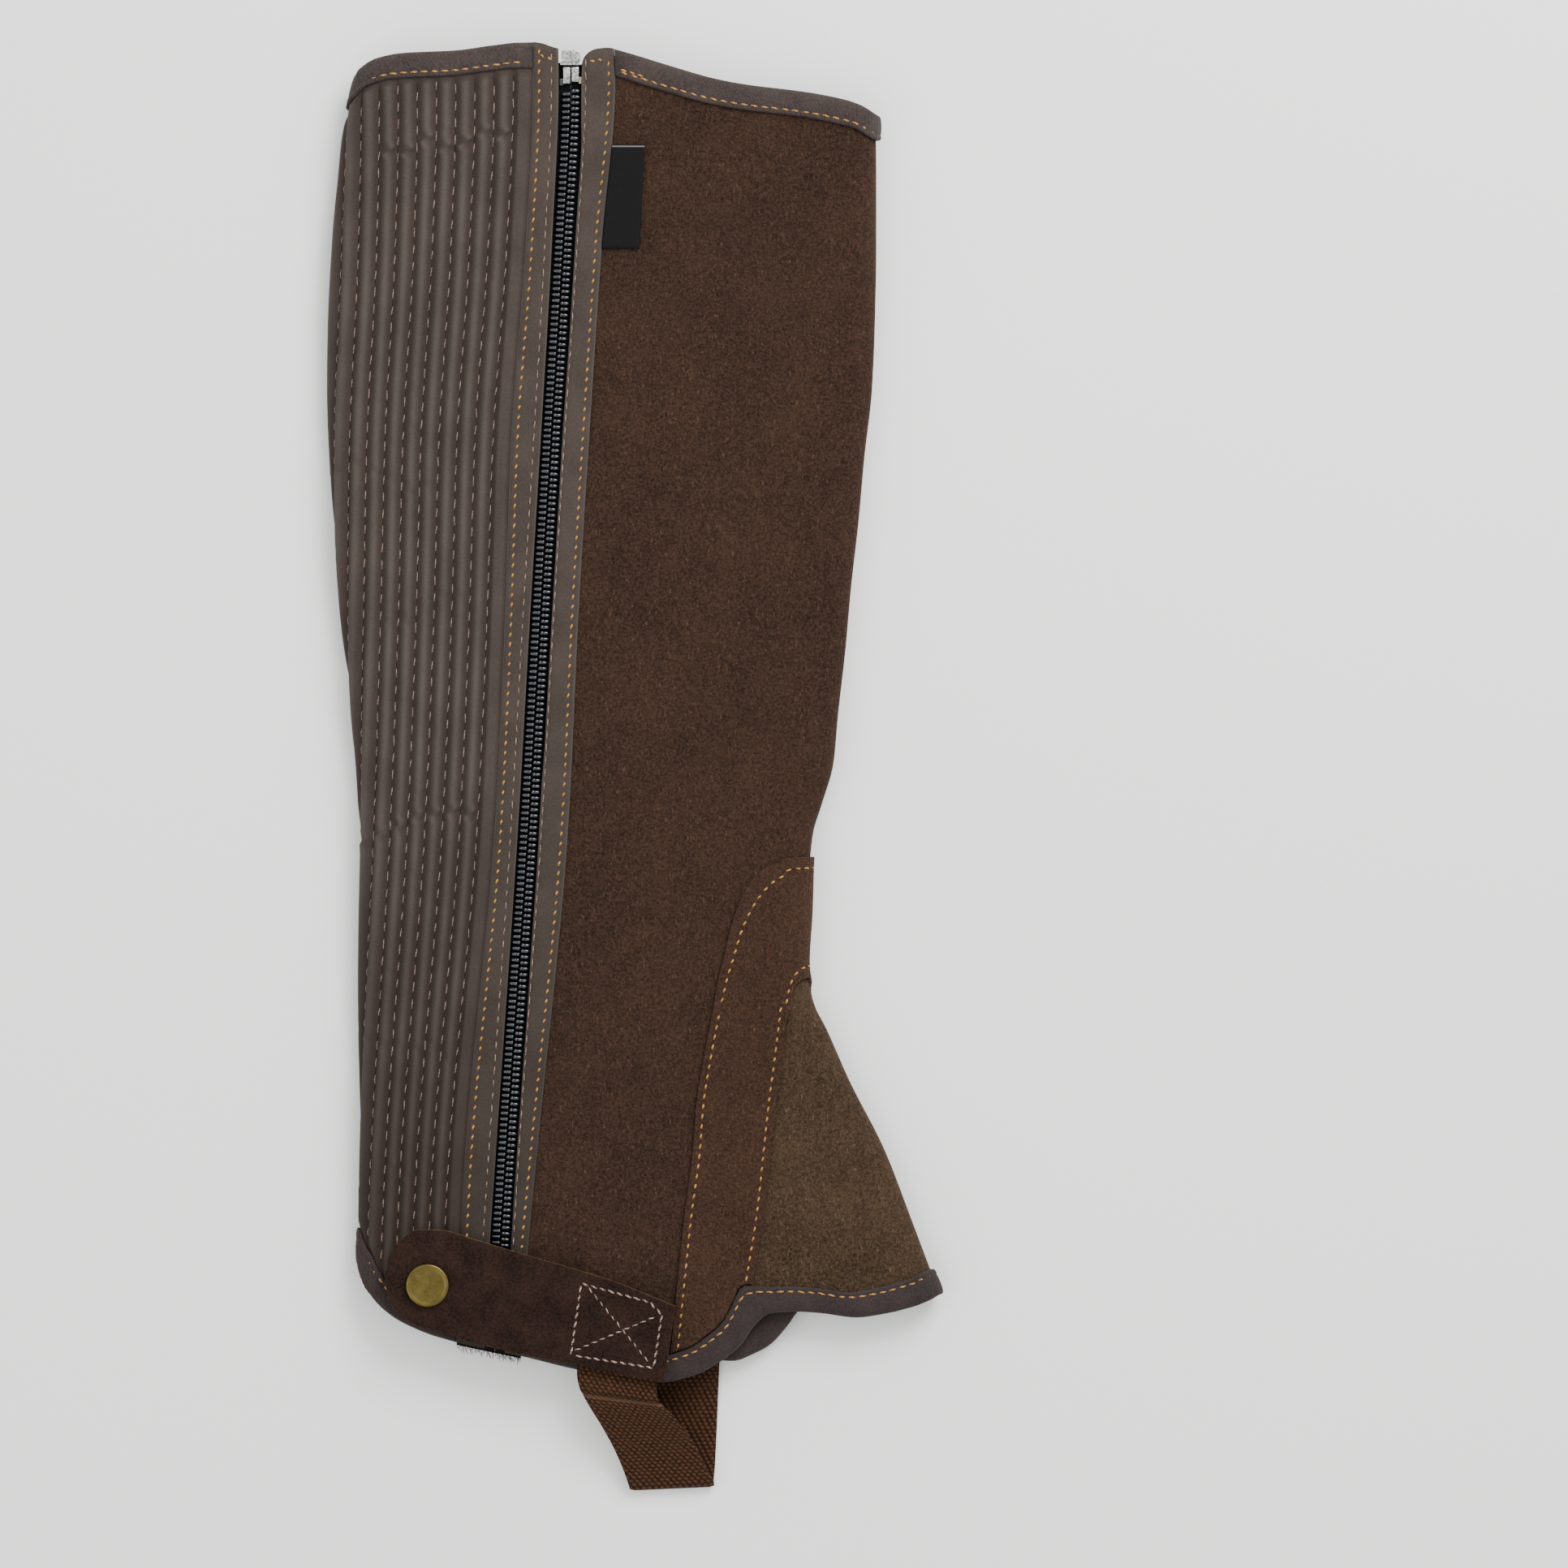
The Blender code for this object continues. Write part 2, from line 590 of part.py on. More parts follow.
def instep_gusset(material, collection):
    """The folded gusset that fills the slit and flares out over the foot."""
    edges = slit_edge(OUTER, GUSSET_GAP), slit_edge(INNER, GUSSET_GAP)
    patch = columns(
        between(*edges, GUSSET_SHARES),
        lambda across: hem.meet(across, EDGE_INSIDE, -120.0),
        FRONT_LOW,
        lambda _: GUSSET_TOP,
    )
    return sewn("instep_gusset", [patch], 0.0, SUEDE, material, collection)


def instep_overlay(material, collection):
    """The suede piece folded over the front above the gusset, with a leg down each side."""
    shares = even(6)
    leg_top = LEGS[0].y
    leg_rows = [y for y in FRONT_LOW if y < leg_top]
    patches = []
    ends = {}
    for side, names in ((OUTER, ("outer_far", "outer_near")),
                        (INNER, ("inner_far", "inner_near"))):
        edges = [line(LEGS, name) for name in names]
        far, near = [lambda y, s=side, edge=edge: turn_at(s, edge(y), y, LAYER_1_TOP)
                     for edge in edges]
        patch = columns(
            between(far, near, shares),
            lambda across: hem.meet(across, BINDING_CLEAR, -120.0),
            leg_rows,
            lambda _: leg_top,
        )
        patches.append(patch)
        ends[side] = (*patch[0][-1], *patch[-1][-1])
    stations = [ends[OUTER]]
    for cap in CAP:
        far = turn_at(cap.side, cap.x, cap.y, LAYER_1_TOP)
        near = turn_at(cap.near_side, cap.near_x, cap.near_y, LAYER_1_TOP)
        stations.append((far, cap.y, near, cap.near_y))
    stations.append(ends[INNER])
    rows = []
    for a, b in zip(stations, stations[1:]):
        pieces = max(1, math.ceil(max(abs(a[0] - b[0]), abs(a[2] - b[2])) / CAP_STEP))
        for share in even(pieces)[:-1]:
            rows.append([mix(p, q, share) for p, q in zip(a, b)])
    rows.append(stations[-1])
    patches.append([[(mix(r[0], r[2], s), mix(r[1], r[3], s)) for s in shares] for r in rows])
    return sewn("instep_overlay", patches, LAYER_1, LAYER_1_TOP, material, collection)


def facing_strips(material, collection):
    """The two smooth strips that cover the zip's tapes."""
    for name, left, right in (("zip_strip_left", "left_out", "left_in"),
                              ("zip_strip_right", "right_in", "right_out")):
        patch = columns(
            between(zip_turn(left), zip_turn(right), even(2)),
            lambda across: hem.meet(across, 0, -120.0),
            ZIP_ROWS,
            lambda across: mouth.meet(across, 0, 150.0),
        )
        sewn(name, [patch], LAYER_1, LAYER_1_TOP, material, collection)


def zip_tapes(material, collection):
    """The two woven tapes, under the strips, with tails that hang out at the hem."""
    sides = (
        ("zip_tape_left", zip_turn("left_out", SEAM), zip_turn("centre", -TAPE_SPLIT)),
        ("zip_tape_right", zip_turn("centre", TAPE_SPLIT), zip_turn("right_out", -SEAM)),
    )
    for name, left, right in sides:
        patch = columns(
            between(left, right, even(2)),
            lambda across: hem.meet(across, 0, -120.0) - TAPE_TAIL,
            ZIP_ROWS,
            lambda across: mouth.meet(across, EDGE_INSIDE, 150.0),
        )
        sewn(name, [patch], TAPE_LOW, TAPE_HIGH, material, collection)


def zip_chain(material, collection):
    """The closed coils, two rows side by side on the tapes."""
    patch = []
    for share, height in CHAIN_SHAPE:
        across = zip_turn("centre", share * CHAIN_HALF)
        heights = [CHAIN_END] + ZIP_ROWS + [CHAIN_TOP]
        patch.append([(across(y), y, height) for y in heights])
    return sewn("zip_chain", [patch], 0.0, SUEDE, material, collection)


def grip_patch(material, collection):
    """The suede grip patch on the inner side of the leg, straight behind and round in front."""
    patch = []
    for row in GRIP:
        start = turn_at(INNER, band_right(row.y) + PATCH_GAP, row.y, LAYER_1_TOP)
        end = turn_at(INNER, row.edge, row.y, LAYER_1_TOP)
        patch.append([(mix(start, end, s), row.y) for s in even(9)])
    return sewn("grip_patch", [patch], LAYER_1, LAYER_1_TOP, material, collection)


def back_band(material, collection):
    """The suede band that covers the seam behind the grip patch."""
    patch = columns(
        between(inner_turn(band_left), inner_turn(band_right), even(4)),
        lambda across: hem.meet(across, BINDING_CLEAR, -120.0),
        [-160, *sorted(row.y for row in GRIP)],
        lambda across: mouth.meet(across, BINDING_CLEAR, 150.0),
    )
    return sewn("back_band", [patch], LAYER_1, LAYER_1_TOP, material, collection)


def woven_label(material, collection):
    """The blank woven label sewn in beside the zip strip."""
    edge = zip_turn("right_out", SEAM)
    far = lambda y: turn_at(OUTER, LABEL_RIGHT, y, LAYER_1_TOP)
    rows = [y for y in ZIP_ROWS if LABEL_LOW < y < LABEL_HIGH]
    patch = columns(between(edge, far, even(3)), lambda _: LABEL_LOW, rows, lambda _: LABEL_HIGH)
    return sewn("woven_label", [patch], LAYER_1, LAYER_1 + LABEL_THICK, material, collection)


def bound_turns(start, stop, flat_count):
    """Turns for a binding's sections, close together round the folds."""
    marks = []
    for fold in (-2, 0):
        marks += [fold - 0.5 + k / 18 for k in range(19)]
    for flat in (-3.5, -1.5, 0.5):
        marks += [flat + k / flat_count for k in range(1, flat_count)]
    return sorted((m for m in marks if stop < m < start), reverse=True)


def binding(name, edge, near, flat_count, material, collection):
    """Stretch tape folded over a raw edge, from one side of the zip round to the other."""
    profile = [
        (BINDING_DEPTH, LAYER_1_TOP), (0, LAYER_1_TOP), (0, BINDING_INNER),
        (BINDING_DEPTH, BINDING_INNER), (BINDING_DEPTH, -SEAM), (TRIM, -SEAM),
        (TRIM, LAYER_1), (BINDING_DEPTH, LAYER_1),
    ]
    depths = (0, TRIM, BINDING_DEPTH)

    def end(across):
        heights = {depth: edge.meet(across, depth, near) for depth in depths}
        return {depth: (across(y), y) for depth, y in heights.items()}

    first = end(zip_turn("right_out", SEAM))
    last = end(zip_turn("left_out", -SEAM))
    start = min(turn for turn, _ in first.values()) - END_CLEAR
    stop = max(turn for turn, _ in last.values()) + END_CLEAR - 4
    stations = [first]
    for turn in bound_turns(start, stop, flat_count):
        stations.append({depth: (turn, edge.height(turn, depth)) for depth in depths})
    stations.append(last)

    def swell(turn, height):
        away = abs((turn + 1) % 2 - 1)
        return height + FOLD_SWELL * ease((0.45 - away) / 0.2) * (height > 0)

    rings = []
    for spots in stations:
        ring = [(*spots[depth], height) for depth, height in profile]
        rings.append([place(turn, y, swell(turn, height)) for turn, y, height in ring])
    return swept(name, rings, material, collection)


def leather_tab(material, collection):
    """The leather tab over the zip's end, round at the stud and square at the strap."""
    patch = []
    for row in TAB:
        upper = turn_at(OUTER, row.upper_x, row.upper_y, TAB_LOW + TAB_THICK), row.upper_y
        lower = turn_at(OUTER, row.lower_x, row.lower_y, TAB_LOW + TAB_THICK), row.lower_y
        patch.append([(mix(upper[0], lower[0], s), mix(upper[1], lower[1], s))
                      for s in even(4)])
    return sewn("leather_tab", [patch], TAB_LOW, TAB_LOW + TAB_THICK, material, collection)


def elastic_strap(material, collection):
    """The elastic loop under the foot, from the tab's end round to the inner side."""
    middles = [(Vector((row.left_x + row.right_x, row.left_y + row.right_y, 2 * row.z)) / 2)
               for row in STRAP]
    rings = []
    for i, row in enumerate(STRAP):
        left = Vector((row.left_x, row.left_y, row.z))
        right = Vector((row.right_x, row.right_y, row.z))
        run = middles[min(i + 1, len(STRAP) - 1)] - middles[max(i - 1, 0)]
        out = (right - left).cross(run).normalized() * (TRIM / 2)
        middle = (left + right) / 2
        rings.append([left + out, middle + out, right + out,
                      right - out, middle - out, left - out])
    return swept("elastic_strap", rings, material, collection)


def strap_patch(material, collection):
    """The square of suede sewn over the strap's inner end."""
    corners = [((3.8, -154.9), (30.3, -156.8)), ((2.4, -169.5), (30.3, -170.4)),
               ((1.2, -183.6), (30.2, -184.0))]
    patch = []
    for left, right in corners:
        a = turn_at(INNER, left[0], left[1]), left[1]
        b = turn_at(INNER, right[0], right[1]), right[1]
        patch.append([(mix(a[0], b[0], s), mix(a[1], b[1], s)) for s in even(2)])
    return sewn("strap_patch", [patch], LAYER_3, LAYER_3_TOP, material, collection)


def seat(x, y, height, lean=0.0):
    """A frame on the outer side: X to the front, Y up the leg, Z out of the cloth."""
    turn = turn_at(OUTER, x, y, height)
    spot = place(turn, y, height)
    up = (place(turn_at(OUTER, x, y + 1, height), y + 1, height) - spot).normalized()
    across = Vector((1, 0, 0))
    across = (across - up * across.dot(up)).normalized()
    out = across.cross(up)
    turned = Matrix.Rotation(lean, 4, "Z")
    frame = Matrix((across, up, out)).transposed().to_4x4() @ turned
    return Matrix.Translation(to_metres(spot)) @ Matrix(frame)


def block(frame, size, centre, bevel):
    """A bevelled block in a frame, its centre and size in millimetres."""
    build = bmesh.new()
    bmesh.ops.create_cube(build, size=1.0)
    bmesh.ops.scale(build, vec=Vector(size) * MM, verts=build.verts)
    if bevel:
        bmesh.ops.bevel(build, geom=build.edges[:], offset=bevel * MM, segments=1,
                        affect="EDGES", profile=0.5)
    bmesh.ops.translate(build, vec=Vector(centre) * MM, verts=build.verts)
    bmesh.ops.transform(build, matrix=frame, verts=build.verts)
    return build


def disc(frame, radius, low, high, edge_drop, sides=28):
    """A round disc in a frame, with its upper edge rounded down by edge_drop."""
    build = bmesh.new()
    levels = [(radius, low), (radius, high - edge_drop), (radius - 0.9 * edge_drop, high)]
    loops = []
    for r, z in levels:
        loops.append([build.verts.new((r * MM * math.cos(2 * math.pi * k / sides),
                                       r * MM * math.sin(2 * math.pi * k / sides), z * MM))
                      for k in range(sides)])
    for near, far in zip(loops, loops[1:]):
        for k in range(sides):
            build.faces.new([near[k], near[k - 1], far[k - 1], far[k]])
    build.faces.new(loops[0])
    build.faces.new(loops[-1])
    bmesh.ops.transform(build, matrix=frame, verts=build.verts)
    return build


def join_blocks(name, pieces, material, collection, cutters):
    """One solid from overlapping blocks, united on the first."""
    whole = make_object(pieces[0], name, material, collection)
    for i, piece in enumerate(pieces[1:]):
        part = make_object(piece, f"{name}_join_{i}", material, cutters)
        part.hide_render = True
        part.display_type = "WIRE"
        unite = whole.modifiers.new(f"unite_{i}", "BOOLEAN")
        unite.operation = "UNION"
        unite.solver = "EXACT"
        unite.object = part
    return whole


def zip_ends(silver, black, collection, cutters):
    """The retainer box and pins at the mouth, and the slider and its pull under the tab."""
    top = seat(zip_lines["centre"](240), 241.4, 0.0)
    box = block(top, (6.3, 4.0, 3.0), (0, 0, 1.5), 0.4)
    flange = block(top, (8.2, 1.2, 2.0), (0, -2.4, 1.2), 0.2)
    join_blocks("zip_box", [box, flange], silver, collection, cutters)
    pins = seat(zip_lines["centre"](235), 235.0, 0.0)
    for name, x, length in (("zip_pin_left", -1.75, 5.8), ("zip_pin_right", 1.75, 5.2)):
        pin = block(pins, (2.2, length, 1.8), (x, 2.9 - length / 2, 0.9), 0.35)
        make_object(pin, name, silver, collection)
    lean = math.atan2(zip_lines["centre"](-190) - zip_lines["centre"](-170), 20)
    low = seat(zip_lines["centre"](-182), -182.0, 0.0, lean)
    upper = block(low, (6.4, 11.0, 1.1), (0, 0, 3.15), 0.3)
    post = block(low, (2.0, 1.6, 5.6), (0, -4.6, 0.8), 0)
    lower = block(low, (6.4, 11.0, 1.1), (0, 0, -2.15), 0.3)
    join_blocks("zip_slider", [upper, post, lower], black, collection, cutters)
    pull = block(low, (4.4, 14.0, 0.8), (0, 2.0, 4.4), 0.2)
    make_object(pull, "zip_pull", black, collection)


def press_stud(brass, collection):
    """The press stud: cap on the tab, socket under it, stud on the stretch panel."""
    frame = seat(SNAP_X, SNAP_Y, 0.0)
    tab_top = TAB_LOW + TAB_THICK
    cap = disc(frame, 7.35, tab_top + SEAM, tab_top + SEAM + 1.6, 0.7, 40)
    make_object(cap, "snap_cap", brass, collection)
    make_object(disc(frame, 5.5, 4.1, TAB_LOW - SEAM, 0.15), "snap_socket", brass, collection)
    make_object(disc(frame, 6.0, LAYER_2, 3.8, 0.15), "snap_stud", brass, collection)


def principled(name, colour, roughness, metallic=0.0):
    material = bpy.data.materials.new(name)
    material.use_nodes = True
    shader = material.node_tree.nodes["Principled BSDF"]
    shader.inputs["Base Color"].default_value = (*colour, 1.0)
    shader.inputs["Roughness"].default_value = roughness
    shader.inputs["Metallic"].default_value = metallic
    return material


def main():
    for old in list(bpy.data.objects):
        bpy.data.objects.remove(old, do_unlink=True)
    chap = bpy.data.collections.new("half_chap")
    cutters = bpy.data.collections.new("cutters")
    bpy.context.scene.collection.children.link(chap)
    bpy.context.scene.collection.children.link(cutters)

    suede_body(principled("brown_suede", (0.055, 0.027, 0.016), 0.95), chap)
    ribbed_panel(principled("ribbed_stretch", (0.090, 0.072, 0.058), 0.75), chap)
    instep_gusset(principled("gusset_suede", (0.069, 0.048, 0.027), 0.95), chap)
    instep_overlay(principled("overlay_suede", (0.065, 0.032, 0.021), 0.95), chap)
    facing_strips(principled("facing", (0.092, 0.075, 0.062), 0.7), chap)
    zip_tapes(principled("zip_tape", (0.012, 0.012, 0.013), 0.8), chap)
    zip_chain(principled("zip_coil", (0.010, 0.011, 0.012), 0.35), chap)
    grip_patch(principled("grip_suede", (0.122, 0.069, 0.048), 0.95), chap)
    back_band(principled("band_suede", (0.055, 0.030, 0.018), 0.95), chap)
    woven_label(principled("label", (0.010, 0.010, 0.011), 0.8), chap)
    tape = principled("binding", (0.080, 0.062, 0.060), 0.8)
    binding("mouth_binding", mouth, 150.0, 15, tape, chap)
    binding("hem_binding", hem, -120.0, 22, tape, chap)
    leather = principled("tab_leather", (0.040, 0.021, 0.014), 0.6)
    leather_tab(leather, chap)
    strap_patch(leather, chap)
    elastic_strap(principled("elastic", (0.070, 0.031, 0.014), 0.85), chap)
    silver = principled("zip_silver", (0.60, 0.60, 0.58), 0.3, 1.0)
    black = principled("zip_black", (0.02, 0.02, 0.02), 0.4, 0.6)
    zip_ends(silver, black, chap, cutters)
    press_stud(principled("antique_brass", (0.28, 0.23, 0.09), 0.35, 1.0), chap)


main()
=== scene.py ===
"""The looks of a brown suede half chap that lies flat with its outer side up."""
import math
from collections import namedtuple

import bmesh
import bpy
import numpy as np
from mathutils import Matrix, Vector


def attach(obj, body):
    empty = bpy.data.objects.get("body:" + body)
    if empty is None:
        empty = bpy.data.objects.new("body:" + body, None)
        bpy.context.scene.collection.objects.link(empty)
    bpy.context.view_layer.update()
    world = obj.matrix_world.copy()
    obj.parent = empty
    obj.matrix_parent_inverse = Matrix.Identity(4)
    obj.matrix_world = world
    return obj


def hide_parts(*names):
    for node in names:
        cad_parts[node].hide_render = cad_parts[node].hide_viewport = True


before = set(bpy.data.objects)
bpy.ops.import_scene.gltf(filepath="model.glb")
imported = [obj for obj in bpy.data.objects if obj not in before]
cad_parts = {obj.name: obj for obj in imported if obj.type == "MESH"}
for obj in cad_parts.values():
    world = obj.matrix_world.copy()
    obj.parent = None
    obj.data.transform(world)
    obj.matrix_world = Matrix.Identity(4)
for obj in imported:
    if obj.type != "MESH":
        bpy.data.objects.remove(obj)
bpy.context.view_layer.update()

# Camera: straight above the chap, far enough off that its sides hardly show. The chap lies
# left of the middle of the frame, which is measured at the level of the chap's outer side.
MM = 0.001
CAMERA_MIDDLE = (49.98 * MM, -5.6 * MM)
CAMERA_HEIGHT = 4.0
OUTER_LEVEL = 13.0 * MM
FRAME_WIDTH = 531.3 * MM
SENSOR = 36.0
scene = bpy.context.scene
camera = bpy.data.objects.new("camera", bpy.data.cameras.new("camera"))
scene.collection.objects.link(camera)
scene.camera = camera
camera.location = (*CAMERA_MIDDLE, CAMERA_HEIGHT)
camera.data.sensor_width = SENSOR
camera.data.lens = SENSOR * (CAMERA_HEIGHT - OUTER_LEVEL) / FRAME_WIDTH
camera.data.clip_end = 20.0

# Light: one broad lamp at the upper right, a weaker one at the lower left, and a pale room.
for name, place_at, size, power in (
    ("key_light", (0.65, 1.05, 1.05), 0.9, 34.0),
    ("fill_light", (-1.1, -0.5, 1.1), 1.4, 8.0),
):
    lamp = bpy.data.objects.new(name, bpy.data.lights.new(name, "AREA"))
    scene.collection.objects.link(lamp)
    lamp.data.size = size
    lamp.data.energy = power
    lamp.location = place_at
    lamp.rotation_euler = (-Vector(place_at)).to_track_quat("-Z", "Y").to_euler()
room = bpy.data.worlds.new("room")
scene.world = room
room.use_nodes = True
backdrop = room.node_tree.nodes["Background"].inputs
backdrop["Color"].default_value = (1.0, 0.99, 0.98, 1.0)
backdrop["Strength"].default_value = 1.15

# Floor: a plain pale table top under the chap.
FLOOR_SIZE = 6.0


class Wire:
    """A shader value that can be written in an expression."""

    def __init__(self, finish, socket):
        self.finish, self.socket = finish, socket

    def math(self, operation, *values):
        return self.finish.node("ShaderNodeMath", {"operation": operation},
                                dict(enumerate(values)))

    def __add__(self, other):
        return self.math("ADD", self, other)

    def __sub__(self, other):
        return self.math("SUBTRACT", self, other)

    def __rsub__(self, other):
        return self.math("SUBTRACT", other, self)

    def __mul__(self, other):
        return self.math("MULTIPLY", self, other)

    def __truediv__(self, other):
        return self.math("DIVIDE", self, other)

    def __pow__(self, other):
        return self.math("POWER", self, other)

    __radd__ = __add__
    __rmul__ = __mul__

    def sine(self):
        return self.math("SINE", self)

    def size(self):
        return self.math("ABSOLUTE", self)

    def part(self):
        return self.math("FRACT", self)

    def clamp(self):
        return self.math("MINIMUM", self.math("MAXIMUM", self, 0.0), 1.0)

    def step(self, low, high):
        """0 below low, 1 above high, and soft between them."""
        return self.finish.node("ShaderNodeMapRange", {"interpolation_type": "SMOOTHSTEP"},
                                {"Value": self, "From Min": low, "From Max": high}, "Result")


class Finish:
    """A material on the Principled shader, its patterns measured in millimetres."""

    def __init__(self, name, roughness=0.8, **constants):
        self.material = bpy.data.materials.new(name)
        self.material.use_nodes = True
        self.tree = self.material.node_tree
        self.shader = self.tree.nodes["Principled BSDF"]
        self.set(Roughness=roughness, **constants)

    def set(self, **values):
        for key, value in values.items():
            self.feed(self.shader.inputs[key.replace("_", " ")], value)

    def feed(self, socket, value):
        if isinstance(value, Wire):
            self.tree.links.new(value.socket, socket)
        elif isinstance(value, tuple) and len(value) == 3 and socket.type == "RGBA":
            socket.default_value = (*value, 1.0)
        else:
            socket.default_value = value

    def node(self, kind, settings, values, output=0):
        node = self.tree.nodes.new(kind)
        for key, value in settings.items():
            setattr(node, key, value)
        for key, value in values.items():
            self.feed(node.inputs[key], value)
        return Wire(self, node.outputs[output])

    def place(self, layer=None, scale=(1.0, 1.0, 1.0)):
        """Object coordinates, or a piece's own UV map, in millimetres."""
        if layer:
            source, unit = self.node("ShaderNodeUVMap", {"uv_map": layer}, {}), 1.0
        else:
            source, unit = self.node("ShaderNodeTexCoord", {}, {}, "Object"), 1 / MM
        return self.node("ShaderNodeVectorMath", {"operation": "MULTIPLY"},
                         {0: source, 1: tuple(unit * v for v in scale)})

    def axis(self, name, layer=None):
        return self.node("ShaderNodeSeparateXYZ", {}, {0: self.place(layer)}, name)

    def grain(self, size, detail=2.0, rough=0.5, low=0.3, high=0.7, scale=(1.0, 1.0, 1.0)):
        """Noise with lumps about `size` millimetres across, cut off below low and above high."""
        return self.node("ShaderNodeTexNoise", {}, {
            "Vector": self.place(scale=scale), "Scale": 1 / size, "Detail": detail,
            "Roughness": rough}).step(low, high)

    def blend(self, share, low, high):
        """A colour between two others."""
        return self.node("ShaderNodeMix", {"data_type": "RGBA"},
                         {"Factor": share, 6: low, 7: high}, 2)

    def relief(self, height, depth, strength=1.0):
        """Bumps whose full height is `depth` millimetres."""
        return self.node("ShaderNodeBump", {}, {
            "Height": height, "Distance": depth * MM, "Strength": strength})


def deselect():
    for piece in bpy.context.selected_objects:
        piece.select_set(False)


deselect()
bpy.ops.mesh.primitive_plane_add(size=FLOOR_SIZE)
floor = bpy.context.object
floor.name = "floor"
pale_table = Finish("pale_table", 0.7, Base_Color=(0.96, 0.96, 0.955))
floor.data.materials.append(pale_table.material)

# Main suede: one piece of brown split cowhide with its nap brushed up, from the zip round the
# front of the leg to the band behind the grip patch. A slit at the instep takes the gusset.
# Every piece of the chap lies on the flattened leg that is measured out here, in millimetres.
CENTRE = np.array((1.18, 0.51, 0.0))
SUEDE, TRIM_TOP, RIB_CREST = 1.4, 2.9, 2.6
SEAM = 0.3
HOLLOW, MOUTH_GAPE = 7.0, 3.0
GAPE_FROM, GAPE_TO, MOUTH_TOP = 140.0, 246.0, 240.0
FRONT_ROUND, BACK_ROUND = 8.0, 10.0
RISE, RISE_X, RISE_Y, RISE_FULL, RISE_END = 3.0, 17.0, -179.0, 26.0, 92.0
CREASE_FROM, CREASE_TO = np.array((30.0, 16.0)), np.array((61.0, -14.0))
CREASE_DEPTH, CREASE_WIDTH, CREASE_FADE = 1.2, 8.0, 0.3
OUTER, INNER = 1, -1
TURN_STEP = 0.001
EDGE_TURNS, HALVINGS = 401, 30
EDGE_REACH, EDGE_STEEP = 4.0, 0.8
EDGE_IN = 2.2
CLOTH_ROUND = 160.0
ZIP_OVERLAP, BAND_OVERLAP = 2.0, 11.3
UPPER_ROWS, LOWER_ROWS = 110, 60
CUT_ANGLE, CUT_ROUND = 50, 0.3


def table(names, rows):
    """Rows of values with named columns."""
    row = namedtuple("Row", names)
    return [row(*values) for values in rows]


FOLDS = table("y back front", [
    (250, -91.5, 82), (240, -93, 82.1), (232, -94.9, 82.1), (225, -96.9, 82.2), (217, -98.8, 82.3),
    (200, -100.4, 82.5), (178, -102.4, 82.5), (150, -103.8, 82), (128, -104, 81), (106, -103.5, 78.5),
    (84, -102.5, 76.5), (62, -100.5, 74), (40, -98.5, 72), (18, -96, 69.5), (2, -94.5, 68),
    (-12, -94, 64), (-22, -93.5, 61), (-32, -93.5, 60), (-48, -93.5, 59.5), (-66, -93.5, 58.5),
    (-80, -93.5, 61.5), (-88, -93.5, 65.5), (-106, -93.5, 73.5), (-129, -93.5, 85.2),
    (-153, -93.5, 94.5), (-215, -93.5, 117.5),
])
SLIT = table("y outer inner", [
    (-65, 58.5, 58.5), (-72, 51, 53.5), (-80, 48, 54.5), (-98, 45.5, 57.5), (-130, 41.5, 55.5),
    (-153, 38, 51), (-177, 35, 47.5), (-210, 31, 43),
])
ZIP = table("y left_out left_in centre right_in right_out", [
    (248, -34, -25.2, -21, -16.8, -6.5), (233, -34, -25.2, -21, -16.8, -6),
    (178, -36.5, -27.5, -23.6, -19.7, -10.5), (110, -41.5, -31.4, -27.8, -24.2, -15),
    (52, -43.5, -34.9, -31.3, -27.7, -18.5), (-20, -47, -39, -35.4, -31.8, -22),
    (-130, -57, -46.5, -43, -39.5, -32.5), (-168, -59, -49, -45.4, -41.8, -36),
    (-204, -60.5, -50.8, -47.3, -43.8, -38),
])
BAND = table("y left right", [
    (230, -79, -57), (178, -79, -56), (110, -79, -55.3), (52, -79, -53.5), (-8, -78.7, -50.8),
    (-42, -78.5, -53), (-77, -78.5, -55), (-125, -78.5, -57), (-185, -78.5, -57.5),
])
MOUTH_OUTER = [
    (-99, 235), (-95, 235.5), (-92.8, 238.2), (-87.6, 241), (-77, 242.7), (-60, 243.5), (-49, 245),
    (-36, 246.3), (-32, 246), (-25, 244), (-16, 243.5), (-8.5, 244.3), (-3, 243), (13.5, 238),
    (27.5, 234), (38, 232), (58, 229.5), (69, 227.5), (78, 225), (83.5, 222),
]
MOUTH_INNER = [
    (-99, 235), (-95, 235.3), (-91, 232), (-85, 229.3), (-69, 227), (-46, 224), (-27, 221.5),
    (-3.5, 219), (19.5, 217.5), (43, 217), (66, 219), (83.5, 222),
]
HEM_OUTER = [
    (-94, -168.5), (-92.5, -174), (-91, -177), (-85.5, -183), (-74.5, -189.5), (-63.5, -193.5),
    (-52.5, -196), (-36, -199.5), (-22, -203), (-5.5, -206), (9, -208), (21, -205.5), (29.5, -201),
    (36.5, -195.5), (41, -189), (46.5, -184.5), (54.5, -184), (63.5, -184.5), (75.5, -186),
    (86.5, -184.5), (94.5, -182.5), (102, -180), (105, -178.5),
]
HEM_INNER = [
    (-94, -168.5), (-82.5, -175.5), (-60.5, -179.5), (-41, -180.5), (-27, -179.5), (-14.5, -180.5),
    (-4.5, -184.5), (5.5, -190.5), (15, -196.5), (24, -200), (34, -201), (41, -198.5), (46.5, -195.5),
    (52, -189.5), (57.5, -182.5), (64.5, -179.5), (74, -179), (87, -179.5), (99, -179.5), (105, -178.5),
]


